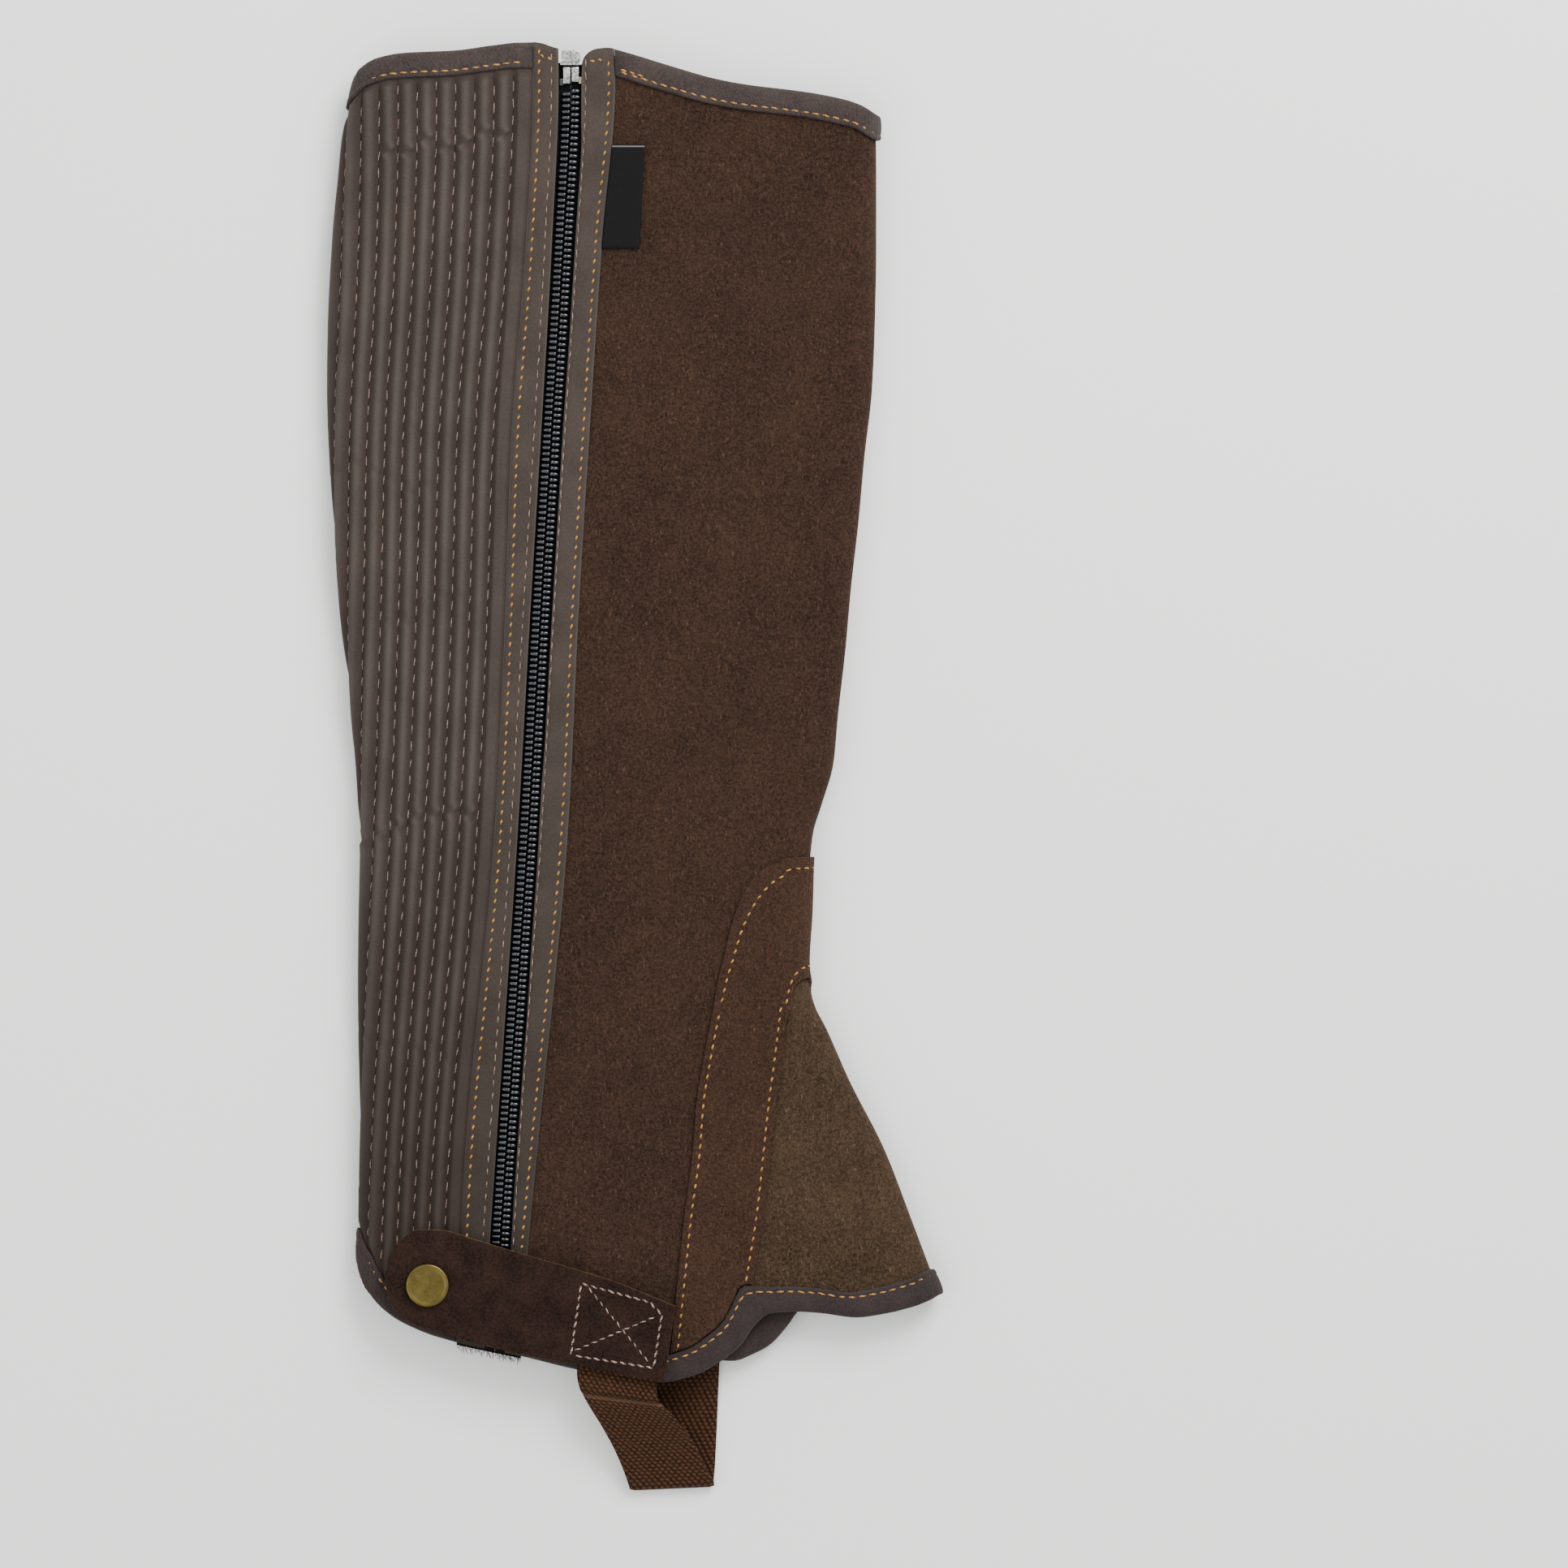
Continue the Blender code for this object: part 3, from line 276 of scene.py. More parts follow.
class Line:
    """A smooth line through points, which never swings past them."""

    def __init__(self, points):
        self.at, self.value = np.array(sorted(points), float).T
        rises = np.diff(self.value) / np.diff(self.at)
        before, after = rises[:-1], rises[1:]
        bend = np.where(before * after > 0, 2 * before * after / (before + after + 1e-12), 0.0)
        self.lean = np.concatenate((rises[:1], bend, rises[-1:]))

    def __call__(self, at):
        at = np.clip(at, self.at[0], self.at[-1])
        i = np.clip(np.searchsorted(self.at, at) - 1, 0, len(self.at) - 2)
        run = self.at[i + 1] - self.at[i]
        t = (at - self.at[i]) / run
        start = (1 + 2 * t) * (1 - t) ** 2 * self.value[i] + t * (1 - t) ** 2 * run * self.lean[i]
        end = t * t * (3 - 2 * t) * self.value[i + 1] + t * t * (t - 1) * run * self.lean[i + 1]
        return start + end


def line(rows, column):
    return Line([(row.y, getattr(row, column)) for row in rows])


def mix(low, high, share):
    return low + (high - low) * share


def ease(share):
    share = np.clip(share, 0.0, 1.0)
    return share * share * (3 - 2 * share)


back_fold = line(FOLDS, "back")
front_fold = line(FOLDS, "front")


def cores(y):
    """Middles of the front and back folds' rounding at height y."""
    return front_fold(y) - SUEDE - FRONT_ROUND, back_fold(y) + RIB_CREST + BACK_ROUND


def crease(x, y):
    """How far the outer side sinks as it lies there."""
    way = CREASE_TO - CREASE_FROM
    off_x, off_y = x - CREASE_FROM[0], y - CREASE_FROM[1]
    share = (off_x * way[0] + off_y * way[1]) / (way @ way)
    off = np.hypot(off_x - way[0] * share, off_y - way[1] * share)
    full = ease(share + CREASE_FADE) * ease(1 + CREASE_FADE - share)
    return CREASE_DEPTH * full * np.exp(-(off / CREASE_WIDTH) ** 2)


def place(turn, y, height):
    """Points on the leg, `height` over the lining side.

    turn is 0 at the front fold, 0.5 to 1.5 across the flat outer side, 2 at the back fold,
    and the same with a minus sign on the inner side.
    """
    turn, y, height = np.broadcast_arrays(*(np.asarray(v, float) for v in (turn, y, height)))
    turn = (turn + 2) % 4 - 2
    side = np.where(turn >= 0, OUTER, INNER)
    away = np.abs(turn)
    front, back = cores(y)
    half = (HOLLOW + MOUTH_GAPE * ease((y - GAPE_FROM) / (GAPE_TO - GAPE_FROM))) / 2
    angle = np.pi * np.where(away < 0.5, away, np.where(away > 1.5, 2 - away, 0.5))
    x = mix(front, back, away - 0.5)
    x = np.where(away < 0.5, front + (FRONT_ROUND + height) * np.cos(angle), x)
    x = np.where(away > 1.5, back - (BACK_ROUND + height) * np.cos(angle), x)
    z = TRIM_TOP + half + side * (half + height) * np.sin(angle)
    rise = RISE * ease((RISE_END - np.hypot(x - RISE_X, y - RISE_Y)) / (RISE_END - RISE_FULL))
    z = z + np.where(side == INNER, rise, -crease(x, y))
    return np.stack((x, y, z), -1)


def turn_at(side, x, y, height=SUEDE):
    """The turn at which a face at this height lies over the point x, y."""
    front, back = cores(y)
    near_front = np.arccos(np.clip((x - front) / (FRONT_ROUND + height), -1, 1)) / np.pi
    near_back = 2 - np.arccos(np.clip((back - x) / (BACK_ROUND + height), -1, 1)) / np.pi
    turn = 0.5 + (front - x) / (front - back)
    return side * np.where(x > front, near_front, np.where(x < back, near_back, turn))


def round_step(turn, y):
    """Millimetres round the leg for each turn."""
    step = place(turn + TURN_STEP, y, SUEDE) - place(turn - TURN_STEP, y, SUEDE)
    return np.linalg.norm(step, axis=-1) / (2 * TURN_STEP)


class Edge:
    """The outline of one open end of the leg, all the way round, and lines set in from it.

    It lies between the heights low and high. A search for it starts at the height near.
    """

    def __init__(self, outer, inner, low, high, near):
        self.near, self.far = near, low if near > high else high
        self.inward = 1 if near > high else -1
        rims = {OUTER: Line(outer), INNER: Line(inner)}
        self.turns = np.linspace(-2, 2, EDGE_TURNS)
        lows, highs = np.full(EDGE_TURNS, low), np.full(EDGE_TURNS, high)
        for _ in range(HALVINGS):
            y = (lows + highs) / 2
            x = place(self.turns, y, TRIM_TOP)[:, 0]
            over = y > np.where(self.turns >= 0, rims[OUTER](x), rims[INNER](x))
            lows, highs = np.where(over, lows, y), np.where(over, y, highs)
        self.rim = (lows + highs) / 2
        reach = EDGE_REACH / round_step(self.turns, self.rim)
        ends = [place(t, np.interp((t + 2) % 4 - 2, self.turns, self.rim), SUEDE)
                for t in (self.turns - reach, self.turns + reach)]
        run = np.linalg.norm(ends[1] - ends[0], axis=1)
        rise = np.minimum(np.abs(ends[1][:, 1] - ends[0][:, 1]) / run, EDGE_STEEP)
        self.stretch = 1 / np.sqrt(1 - rise ** 2)

    def height(self, turn, depth=0.0):
        """The height of the line that lies `depth` in from the edge."""
        turn = (np.asarray(turn) + 2) % 4 - 2
        inset = depth * np.interp(turn, self.turns, self.stretch)
        return np.interp(turn, self.turns, self.rim) + self.inward * inset

    def meet(self, across, depth):
        """Where a column, given as turn by height, meets the line `depth` in from the edge."""
        near, far = self.near, self.far
        for _ in range(HALVINGS):
            y = (near + far) / 2
            inside = (y - self.height(across(y), depth)) * self.inward > 0
            near, far = (y, far) if inside else (near, y)
        return (near + far) / 2

    def inset(self, depth):
        return lambda across: self.meet(across, depth)


mouth = Edge(MOUTH_OUTER, MOUTH_INNER, 205.0, 250.0, 150.0)
hem = Edge(HEM_OUTER, HEM_INNER, -214.0, -160.0, -120.0)


def to_metres(points):
    return (np.asarray(points) - CENTRE) * MM


def finish_mesh(name, points, faces, maps, paints=None):
    """A named object from points in millimetres, with its UV maps and the paint of each face."""
    mesh = bpy.data.meshes.new(name)
    mesh.from_pydata(to_metres(points).tolist(), [], faces)
    corners = np.zeros(len(mesh.loops), int)
    mesh.loops.foreach_get("vertex_index", corners)
    for map_name, spots in maps.items():
        layer = mesh.uv_layers.new(name=map_name)
        layer.data.foreach_set("uv", np.asarray(spots, float)[corners].ravel())
    if paints is not None:
        mesh.polygons.foreach_set("material_index", paints)
    build = bmesh.new()
    build.from_mesh(mesh)
    bmesh.ops.recalc_face_normals(build, faces=build.faces)
    build.to_mesh(mesh)
    build.free()
    mesh.shade_smooth()
    piece = bpy.data.objects.new(name, mesh)
    scene.collection.objects.link(piece)
    return piece


def wall(name, patches, low, high):
    """A closed cloth wall over patches of spots, each a grid of turns and one of heights up
    the leg, and one of how far the face stands out where that varies. Patches share the spots
    of a common edge. The face's paint is 0, the cut edges' 1 and the lining side's 2.
    """
    spots = np.concatenate([np.stack(patch[:2], -1).reshape(-1, 2) for patch in patches])
    tops = np.concatenate([np.broadcast_to((*patch, high)[2], patch[0].shape).ravel()
                           for patch in patches])
    _, first, index = np.unique(np.round(spots, 5), axis=0, return_index=True,
                                return_inverse=True)
    index = index.ravel()
    turn, y = spots[first].T
    top = tops[first]
    quads = []
    start = 0
    for patch in patches:
        ids = index[start:start + patch[0].size].reshape(patch[0].shape)
        start += patch[0].size
        loops = np.stack((ids[:-1, :-1], ids[1:, :-1], ids[1:, 1:], ids[:-1, 1:]), -1)
        quads.append(loops.reshape(-1, 4))
    quads = np.concatenate(quads)
    count = len(turn)
    points = np.concatenate((place(turn, y, top), place(turn, y, low)))
    edges = np.stack((quads, np.roll(quads, -1, 1)), -1).reshape(-1, 2)
    _, back, uses = np.unique(np.sort(edges, 1), axis=0, return_index=True, return_counts=True)
    rim = edges[back[uses == 1]]
    sides = np.stack((rim[:, 1], rim[:, 0], rim[:, 0] + count, rim[:, 1] + count), 1)
    faces = quads.tolist() + (quads[:, ::-1] + count).tolist() + sides.tolist()
    paints = np.repeat((0, 2, 1), (len(quads), len(quads), len(rim)))
    cloth = np.tile(np.stack((turn * CLOTH_ROUND, y), 1), (2, 1))
    relief = np.tile(np.stack((top, y), 1), (2, 1))
    return finish_mesh(name, points, faces, {"cloth": cloth, "relief": relief}, paints)


def soften(piece, width, segments=2, paint=-1):
    """Rounds the cut edges of a cloth piece, which may take a paint of their own."""
    deselect()
    bpy.context.view_layer.objects.active = piece
    bevel = piece.modifiers.new("cut_edge", "BEVEL")
    bevel.width = width * MM
    bevel.segments = segments
    bevel.material = paint
    while len(piece.data.materials) <= paint:
        piece.data.materials.append(None)
    bevel.limit_method = "ANGLE"
    bevel.angle_limit = math.radians(CUT_ANGLE)
    bpy.ops.object.modifier_apply(modifier="cut_edge")
    return piece


def dress(piece, finishes, slot, *nodes):
    """Gives a piece its finishes and its place on the frame."""
    slots, faces = piece.data.materials, piece.data.polygons
    paints = np.zeros(len(faces), int)
    faces.foreach_get("material_index", paints)
    faces.foreach_set("material_index", np.minimum(paints, len(finishes) - 1))
    while len(slots) < len(finishes):
        slots.append(None)
    for i, finish in enumerate(finishes):
        slots[i] = finish.material
    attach(piece, "root")
    if nodes:
        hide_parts(*nodes)
    return piece


def columns(acrosses, low, high, count):
    """Spots in columns, one for each line up the leg, from its low to its high end.

    count is the number of even rows, or the share of the way at which each row lies.
    """
    shares = np.linspace(0, 1, count) if np.isscalar(count) else count
    heights = np.array([mix(low(across), high(across), shares) for across in acrosses])
    turns = np.array([across(y) for across, y in zip(acrosses, heights)])
    return turns, heights


def between(left, right, shares):
    """Lines up the leg that share out the way from one to another."""
    return [lambda y, s=share: mix(left(y), right(y), s) for share in shares]


zip_lines = {name: line(ZIP, name) for name in ZIP[0]._fields[1:]}
band_left = line(BAND, "left")
band_right = line(BAND, "right")
slit_lines = {OUTER: line(SLIT, "outer"), INNER: line(SLIT, "inner")}
SLIT_TOP = SLIT[0].y
SLIT_ROWS = np.linspace(FOLDS[-1].y, SLIT_TOP, LOWER_ROWS)


def edge_turn(side, edge, shift=0.0, height=TRIM_TOP):
    """The turn by height of a line that is drawn on one side of the leg."""
    return lambda y: turn_at(side, edge(y) + shift, y, height)


def zip_turn(name, shift=0.0, height=TRIM_TOP):
    return edge_turn(OUTER, zip_lines[name], shift, height)


def slit_edge(side, gap=0.0):
    """The slit's edge on one side, from its top at the front fold down beside the gusset."""
    turns = turn_at(side, slit_lines[side](SLIT_ROWS[:-1]), SLIT_ROWS[:-1])
    turns = np.append(turns, 0.0)

    def across(y):
        turn = np.interp(y, SLIT_ROWS, turns)
        return turn - side * gap / round_step(turn, y)

    return across


def suede_finish(name, dark, light, nap=0.35):
    """Brushed suede: a mottled nap with soft strokes where hands have passed over it."""
    suede = Finish(name, 0.95, Specular_IOR_Level=0.06, Sheen_Weight=0.07,
                   Sheen_Roughness=0.6, Sheen_Tint=(0.8, 0.62, 0.5))
    smudge = suede.grain(24.0, 3.0, 0.6, 0.2, 0.8)
    stroke = suede.grain(3.2, 3.0, 0.7, 0.3, 0.72, (1.0, 0.55, 1.0))
    fleck = suede.grain(1.05, 3.0, 0.75, 0.38, 0.62)
    fibre = suede.grain(0.5, 2.0, 0.6, 0.36, 0.64)
    hair = suede.grain(0.55, 1.0, 0.5, 0.66, 0.74, (1.0, 0.3, 1.0))
    share = (smudge * 0.2 + stroke * 0.12 + fleck * 0.39 + fibre * 0.29).clamp()
    pale_hair = tuple(1.7 * v for v in light)
    suede.set(Base_Color=suede.blend(hair * 0.6, suede.blend(share, dark, light), pale_hair),
              Roughness=0.88 + 0.1 * fleck,
              Normal=suede.relief(fibre * 0.6 + fleck * 0.5 + stroke * 0.3, nap, 0.6))
    return suede


zip_edge = zip_turn("right_in", ZIP_OVERLAP, SUEDE)
band_edge = edge_turn(INNER, band_left, BAND_OVERLAP, SUEDE)
# The columns stand closer near the front fold.
flat_shares = np.append(np.linspace(0, 0.62, 34), np.linspace(0.63, 1, 40))
patches = []
for side, far in ((OUTER, zip_edge), (INNER, band_edge)):
    half = between(far, slit_edge(side), flat_shares)
    patches.append(columns(half, lambda across: SLIT_TOP, mouth.inset(EDGE_IN), UPPER_ROWS))
    patches.append(columns(half, hem.inset(EDGE_IN), lambda across: SLIT_TOP, LOWER_ROWS))
brown_suede = suede_finish("brown_suede", (0.0044, 0.0024, 0.0015), (0.0525, 0.0278, 0.018))
body = soften(wall("main_suede", patches, 0.0, SUEDE), CUT_ROUND)
dress(body, [brown_suede], "brown_suede", "suede_body")

# Stretch panel: smooth matte stretch cloth laid over soft ribs. A row of long stitches runs
# down each valley, and the cloth is pinched here and there where the panel has been bent.
PITCH = [(248, 6.6), (178, 6.3), (110, 6.1), (-20, 5.9), (-130, 5.4), (-204, 5.3)]
RIB_COUNT, RIB_STEPS = 15, 10
RIB_VALLEY, RIB_FADE, RIB_SHARP = 0.7, 3.0, 0.9
FIRST_RISE, FIRST_SIDE, FIRST_LEVEL, FIRST_ROUND = 0.85, 0.3, 0.6, 0.25
BAND_TUCK = 11.0
PANEL_ROWS = 270
BINDING_DEPTH = 8.5
PINCH_HALF, PINCH_DENT, PINCH_LEAN, PINCH_JITTER = 0.9, 0.45, 1.0, 2.4
PINCH_SWING, SWING_HALF, SWING_WAVE = 2.0, 2.1, 1.25
PINCH_DEPTHS = (0.75, 1.1)
LOOSE_PINCHES, LOOSE_Y, LOOSE_DEPTHS = 45, (-160, 225), (0.06, 0.22)
PINCH_ROWS = table("first_rib first_y last_rib last_y depth", [
    (1, 216.6, 7, 208.5, 1), (1, -13.6, 8, -25, 0.8), (4, 96, 9, 104, 0.3), (2, 60, 6, 50, 0.25),
    (1, -96, 7, -88, 0.35), (3, -135, 8, -142, 0.25),
])
DENSE_ROWS, DENSE_HALF, DENSE_SHARE, DENSE_TURN = (213.0, -18.0), 11.0, 2.2, 1.3
STITCH_END, STITCH_ROOM, VALLEY_GAP = 9.5, 2.0, 5.75
ROW_END, RUN_PROBE, OUT_PROBE = 0.3, 0.4, 0.5
STITCH_TURN, STITCH_LENGTHS = 0.05, (0.9, 1.08)
THREAD_HIGH, THREAD_FULL, THREAD_SQUARE, THREAD_END = 0.8, 2.2, 0.8, 0.2
LINE_POINTS, FEW_POINTS, VALLEY_STARTS = 300, 9, (0.2, 0.9)
BELT_TURNS = (*np.linspace(1.5, 2.5, 25), 3.3)
rib_pitch = Line(PITCH)
chance = np.random.default_rng(11)


def lengths(points):
    """How far along a run of points each of them lies."""
    return np.append(0.0, np.cumsum(np.linalg.norm(np.diff(points, axis=0), axis=1)))


def unit(vectors):
    return vectors / np.linalg.norm(vectors, axis=1)[:, None]


def belt(y):
    """Turns from the zip strip round the back, and how far each lies from the strip's edge."""
    start = float(zip_turn("left_out")(y))
    turns = np.array([start, *BELT_TURNS])
    return turns, lengths(place(turns, y, SUEDE)[:, ::2])


belt_rows = np.linspace(-208, 250, 240)
belt_table = [belt(y) for y in belt_rows]
band_starts = np.array([np.interp(edge, turns, run) for edge, (turns, run) in
                        zip(4 + edge_turn(INNER, band_left)(belt_rows), belt_table)])


def rib_line(number):
    """The line up the leg that keeps its number of ribs from the zip strip, or that shares
    out the panel's tuck under the band with the lines beside it.
    """
    away, last = number * rib_pitch(belt_rows), RIB_COUNT * rib_pitch(belt_rows)
    tucked = BAND_TUCK * (away - band_starts) / (last - band_starts)
    away = np.where(away > band_starts, band_starts + tucked, away)
    turns = [np.interp(a, run, turns) for a, (turns, run) in zip(away, belt_table)]
    return lambda y: np.interp(y, belt_rows, turns)


def rib_room(number, y):
    """How far a line lies from the band's edge at each height."""
    return np.interp(y, belt_rows, band_starts - number * rib_pitch(belt_rows))


pinches = []
for row in PINCH_ROWS:
    for rib in range(row.first_rib, row.last_rib + 1):
        share = (rib - row.first_rib) / (row.last_rib - row.first_rib)
        y = mix(row.first_y, row.last_y, share) + chance.uniform(-PINCH_JITTER, PINCH_JITTER)
        pinches.append((rib, y, row.depth * chance.uniform(*PINCH_DEPTHS)))
for _ in range(LOOSE_PINCHES):
    pinches.append((int(chance.integers(1, RIB_COUNT)), chance.uniform(*LOOSE_Y),
                    chance.uniform(*LOOSE_DEPTHS)))

numbers = np.arange(RIB_COUNT * RIB_STEPS + 1) / RIB_STEPS
tuck = zip_turn("left_in", -ZIP_OVERLAP, SUEDE)
lines_up = [tuck, lambda y: (tuck(y) + rib_line(0)(y)) / 2] + [rib_line(n) for n in numbers]
ways = np.linspace(0, 1, 2001)
levels_up = mix(hem.height(DENSE_TURN, EDGE_IN), mouth.height(DENSE_TURN, EDGE_IN), ways)
dense = 1 + DENSE_SHARE * sum(np.exp(-((levels_up - y) / DENSE_HALF) ** 2) for y in DENSE_ROWS)
dense = np.cumsum(dense) - dense[0]
row_shares = np.interp(np.linspace(0, 1, PANEL_ROWS), dense / dense[-1], ways)
turns, heights = columns(lines_up, hem.inset(EDGE_IN), mouth.inset(EDGE_IN), row_shares)
faces_out = np.full(turns.shape, SUEDE)
for i, number in enumerate(numbers, 2):
    y, turn = heights[i], turns[i]
    rooms = (rib_room(number, y), mouth.height(turn, BINDING_DEPTH) - y,
             y - hem.height(turn, BINDING_DEPTH))
    show = np.prod([ease(room / RIB_FADE) for room in rooms], axis=0)
    rise = abs(math.sin(math.pi * number)) ** RIB_SHARP
    if number < 1:
        level = mix(FIRST_LEVEL, 1.0, ease(number / FIRST_ROUND))
        rise = FIRST_RISE * ease((1 - number) / FIRST_SIDE) * level
    face = mix(RIB_VALLEY, RIB_CREST, rise)
    shift = 0.0
    for rib, pinch_y, depth in pinches:
        if rib <= number <= rib + 1:
            inside = depth * math.sin(math.pi * (number - rib))
            off = y - pinch_y + PINCH_LEAN * (number - rib - 0.5)
            face = face - PINCH_DENT * inside * np.exp(-(off / PINCH_HALF) ** 2)
            swing = np.exp(-(off / SWING_HALF) ** 2) * np.sin(off / SWING_WAVE)
            shift = shift - show * inside * PINCH_SWING * swing
    faces_out[i] = mix(SUEDE, face, show)
    turns[i] = turn + shift / round_step(turn, y)

stretch = Finish("ribbed_stretch", 0.72, Specular_IOR_Level=0.12, Sheen_Weight=0.05)
worn = stretch.grain(20.0)
grain = stretch.grain(0.8, 3.0, 0.7)
rise = (stretch.axis("X", "relief") - RIB_VALLEY) / (RIB_CREST - RIB_VALLEY)
flank = stretch.blend(worn * 0.4 + grain * 0.6, (0.025, 0.0178, 0.0146), (0.041, 0.0295, 0.0245))
# Painted highlight: the cloth is painted paler towards each rib's crest, so the crests look lit.
crest_highlight = stretch.blend(worn * 0.5 + grain * 0.5, (0.045, 0.0355, 0.03), (0.068, 0.0555, 0.048))
cloth = stretch.blend(rise.clamp() ** 5, flank, crest_highlight)
lower = 1.0 - stretch.axis("Y", "relief").step(-190.0, 20.0)
cloth = stretch.blend(lower * 0.5, cloth, (0.012, 0.0065, 0.0035))
# Painted shade: a dark line is painted along the bottom of each valley between the ribs.
stretch.set(Base_Color=stretch.blend(rise.step(0.0, 0.14), (0.011, 0.0075, 0.006), cloth),
            Roughness=0.68 + 0.12 * grain, Normal=stretch.relief(grain, 0.06, 0.5))
knit_back = Finish("black_knit_back", 0.85)
stripe = (knit_back.axis("X", "cloth") * 3.3).sine() * 0.5 + 0.5
knit_back.set(Base_Color=knit_back.blend(stripe, (0.006, 0.006, 0.006), (0.022, 0.021, 0.021)),
              Normal=knit_back.relief(stripe, 0.25, 0.7))
panel = wall("stretch_panel", [(turns, heights, faces_out)], 0.0, SUEDE)
dress(panel, [stretch, stretch, knit_back], "ribbed_stretch", "ribbed_panel")


def thread_finish(name, dark, light):
    """Two-ply thread: the plies wind round each other."""
    thread = Finish(name, 0.5, Specular_IOR_Level=0.35)
    wind = thread.axis("X", "thread") * 2 + thread.axis("Y", "thread") * 1.5
    ply = (wind * math.pi).sine()
    share = (ply * 0.25 + 0.3 + thread.grain(1.6) * 0.45).clamp()
    thread.set(Base_Color=thread.blend(share, dark, light), Normal=thread.relief(ply, 0.12, 0.8))
    return thread


def ball(sides):
    """Points and faces of a ball one millimetre across."""
    deselect()
    bpy.ops.mesh.primitive_uv_sphere_add(segments=sides, ring_count=6, radius=0.5)
    sphere = bpy.context.object
    points = np.array([vertex.co for vertex in sphere.data.vertices])
    faces = [list(face.vertices) for face in sphere.data.polygons]
    bpy.data.objects.remove(sphere)
    return points, faces


def copies(faces, size, count):
    """The faces of `count` pieces that have `size` points each."""
    return [[v + i * size for v in face] for i in range(count) for face in faces]


def along(turns, heights, level, gap, start=0.5):
    """Even places along a line on the leg: middles, directions and outward directions."""
    path = place(turns, heights, level)
    over = place(turns, heights, np.asarray(level) + OUT_PROBE)
    length = lengths(path)
    marks = np.arange(gap * start, length[-1] - gap * ROW_END, gap)

    def pick(values, at):
        return np.stack([np.interp(at, length, value) for value in values.T], 1)

    middles = pick(path, marks)
    runs = pick(path, marks + RUN_PROBE) - pick(path, marks - RUN_PROBE)
    outs = pick(over, marks) - middles
    return middles, unit(runs), unit(outs)


def up_leg(across, clear):
    """Heights up a line on the leg, from `clear` above the hem to `clear` below the mouth."""
    return np.linspace(hem.meet(across, clear), mouth.meet(across, clear), LINE_POINTS)


stitch_points, stitch_faces = ball(6)


def sew(name, rows, finish, slot, long, wide=0.55, lean=0.0, dip=0.45, lift=0.12):
    """Stitches at the given places, each sunk into the cloth at its two ends."""
    middles, runs, outs = (np.concatenate(parts) for parts in zip(*rows))
    count = len(middles)
    sides = np.cross(runs, outs)
    turned = lean + chance.normal(0, STITCH_TURN, count)[:, None]
    runs, sides = (runs * np.cos(turned) + sides * np.sin(turned),
                   sides * np.cos(turned) - runs * np.sin(turned))
    reach = long * chance.uniform(*STITCH_LENGTHS, count)[:, None, None]
    side, up, run = stitch_points.T
    run_at = run[None, :, None] * reach
    bow = (lift + up * wide * THREAD_HIGH - dip * (2 * run) ** 2)[None, :, None]
    full = np.minimum(1.0, THREAD_FULL * np.sqrt(np.maximum(0.0, 0.25 - run ** 2)))
    flat = np.sign(side) * np.abs(side) ** THREAD_SQUARE * wide * full ** THREAD_END
    flat = flat[None, :, None]
    points = middles[:, None] + runs[:, None] * run_at + sides[:, None] * flat
    points = (points + outs[:, None] * bow).reshape(-1, 3)
    wound = np.stack((np.tile(np.arctan2(up, side) / (2 * math.pi), count), run_at.ravel()), 1)
    faces = copies(stitch_faces, len(stitch_points), count)
    return dress(finish_mesh(name, points, faces, {"thread": wound}), [finish], slot)


pale_thread = thread_finish("pale_thread", (0.07, 0.042, 0.032), (0.35, 0.235, 0.185))
valley_rows = []
for rib in range(1, RIB_COUNT):
    across = rib_line(rib)
    y = up_leg(across, STITCH_END)
    y = y[rib_room(rib, y) > STITCH_ROOM]
    if len(y) > FEW_POINTS:
        valley_rows.append(along(across(y), y, RIB_VALLEY, VALLEY_GAP, chance.uniform(*VALLEY_STARTS)))
sew("rib_stitches", valley_rows, pale_thread, "ribbed_stretch", 3.9, 0.35, 0.05, lift=0.4)

# Zip: two woven tapes with the closed coils between them, a bright box and two pins at the
# mouth. The tapes hang out frayed at the hem. The slider and its pull sit under the tab.
TAPE_LOW, TAPE_HIGH, TAPE_SPLIT = -1.3, -0.3, 0.02
TAPE_TAIL, TAPE_TOP = 0.9, 4.6
TAPE_COLUMNS, TAPE_ROWS = 12, 160
FRAY_COUNT, FRAY_SPREAD, FRAY_DOWN, FRAY_IN = 26, (0.04, 0.96), (-0.4, 1.4), 0.2
FRAY_LEAN, FRAY_LIFT = 0.5, 0.12
CHAIN_TOP, CHAIN_END, COIL_PITCH = 231.3, -187.0, 2.0
TOOTH_LONG, TOOTH_WIDE, TOOTH_HIGH, TOOTH_SAG = 3.1, 1.25, 1.6, 1.1
TOOTH_OFF, TOOTH_LEVEL = 1.7, 1.0
HEAD_LONG, HEAD_WIDE, HEAD_HIGH, HEAD_IN, HEAD_UP = 1.2, 1.35, 1.4, 0.95, 0.3
BOX_SIZE, BOX_Y = (6.2, 4.2, 2.8), 241.4
FLANGE_SIZE, FLANGE_DOWN = (7.4, 1.0, 1.8), -2.5
PIN_SIZES = {"zip_pin_left": (-1.5, 5.8), "zip_pin_right": (1.5, 5.2)}
PIN_Y, PIN_WIDE, PIN_HIGH, PIN_TOP = 235.0, 2.6, 1.7, 2.9
LUG_SIZE, LUG_OUT, LUG_UP = (1.5, 2.4, 1.3), 2.2, 0.6
SHARP = 40

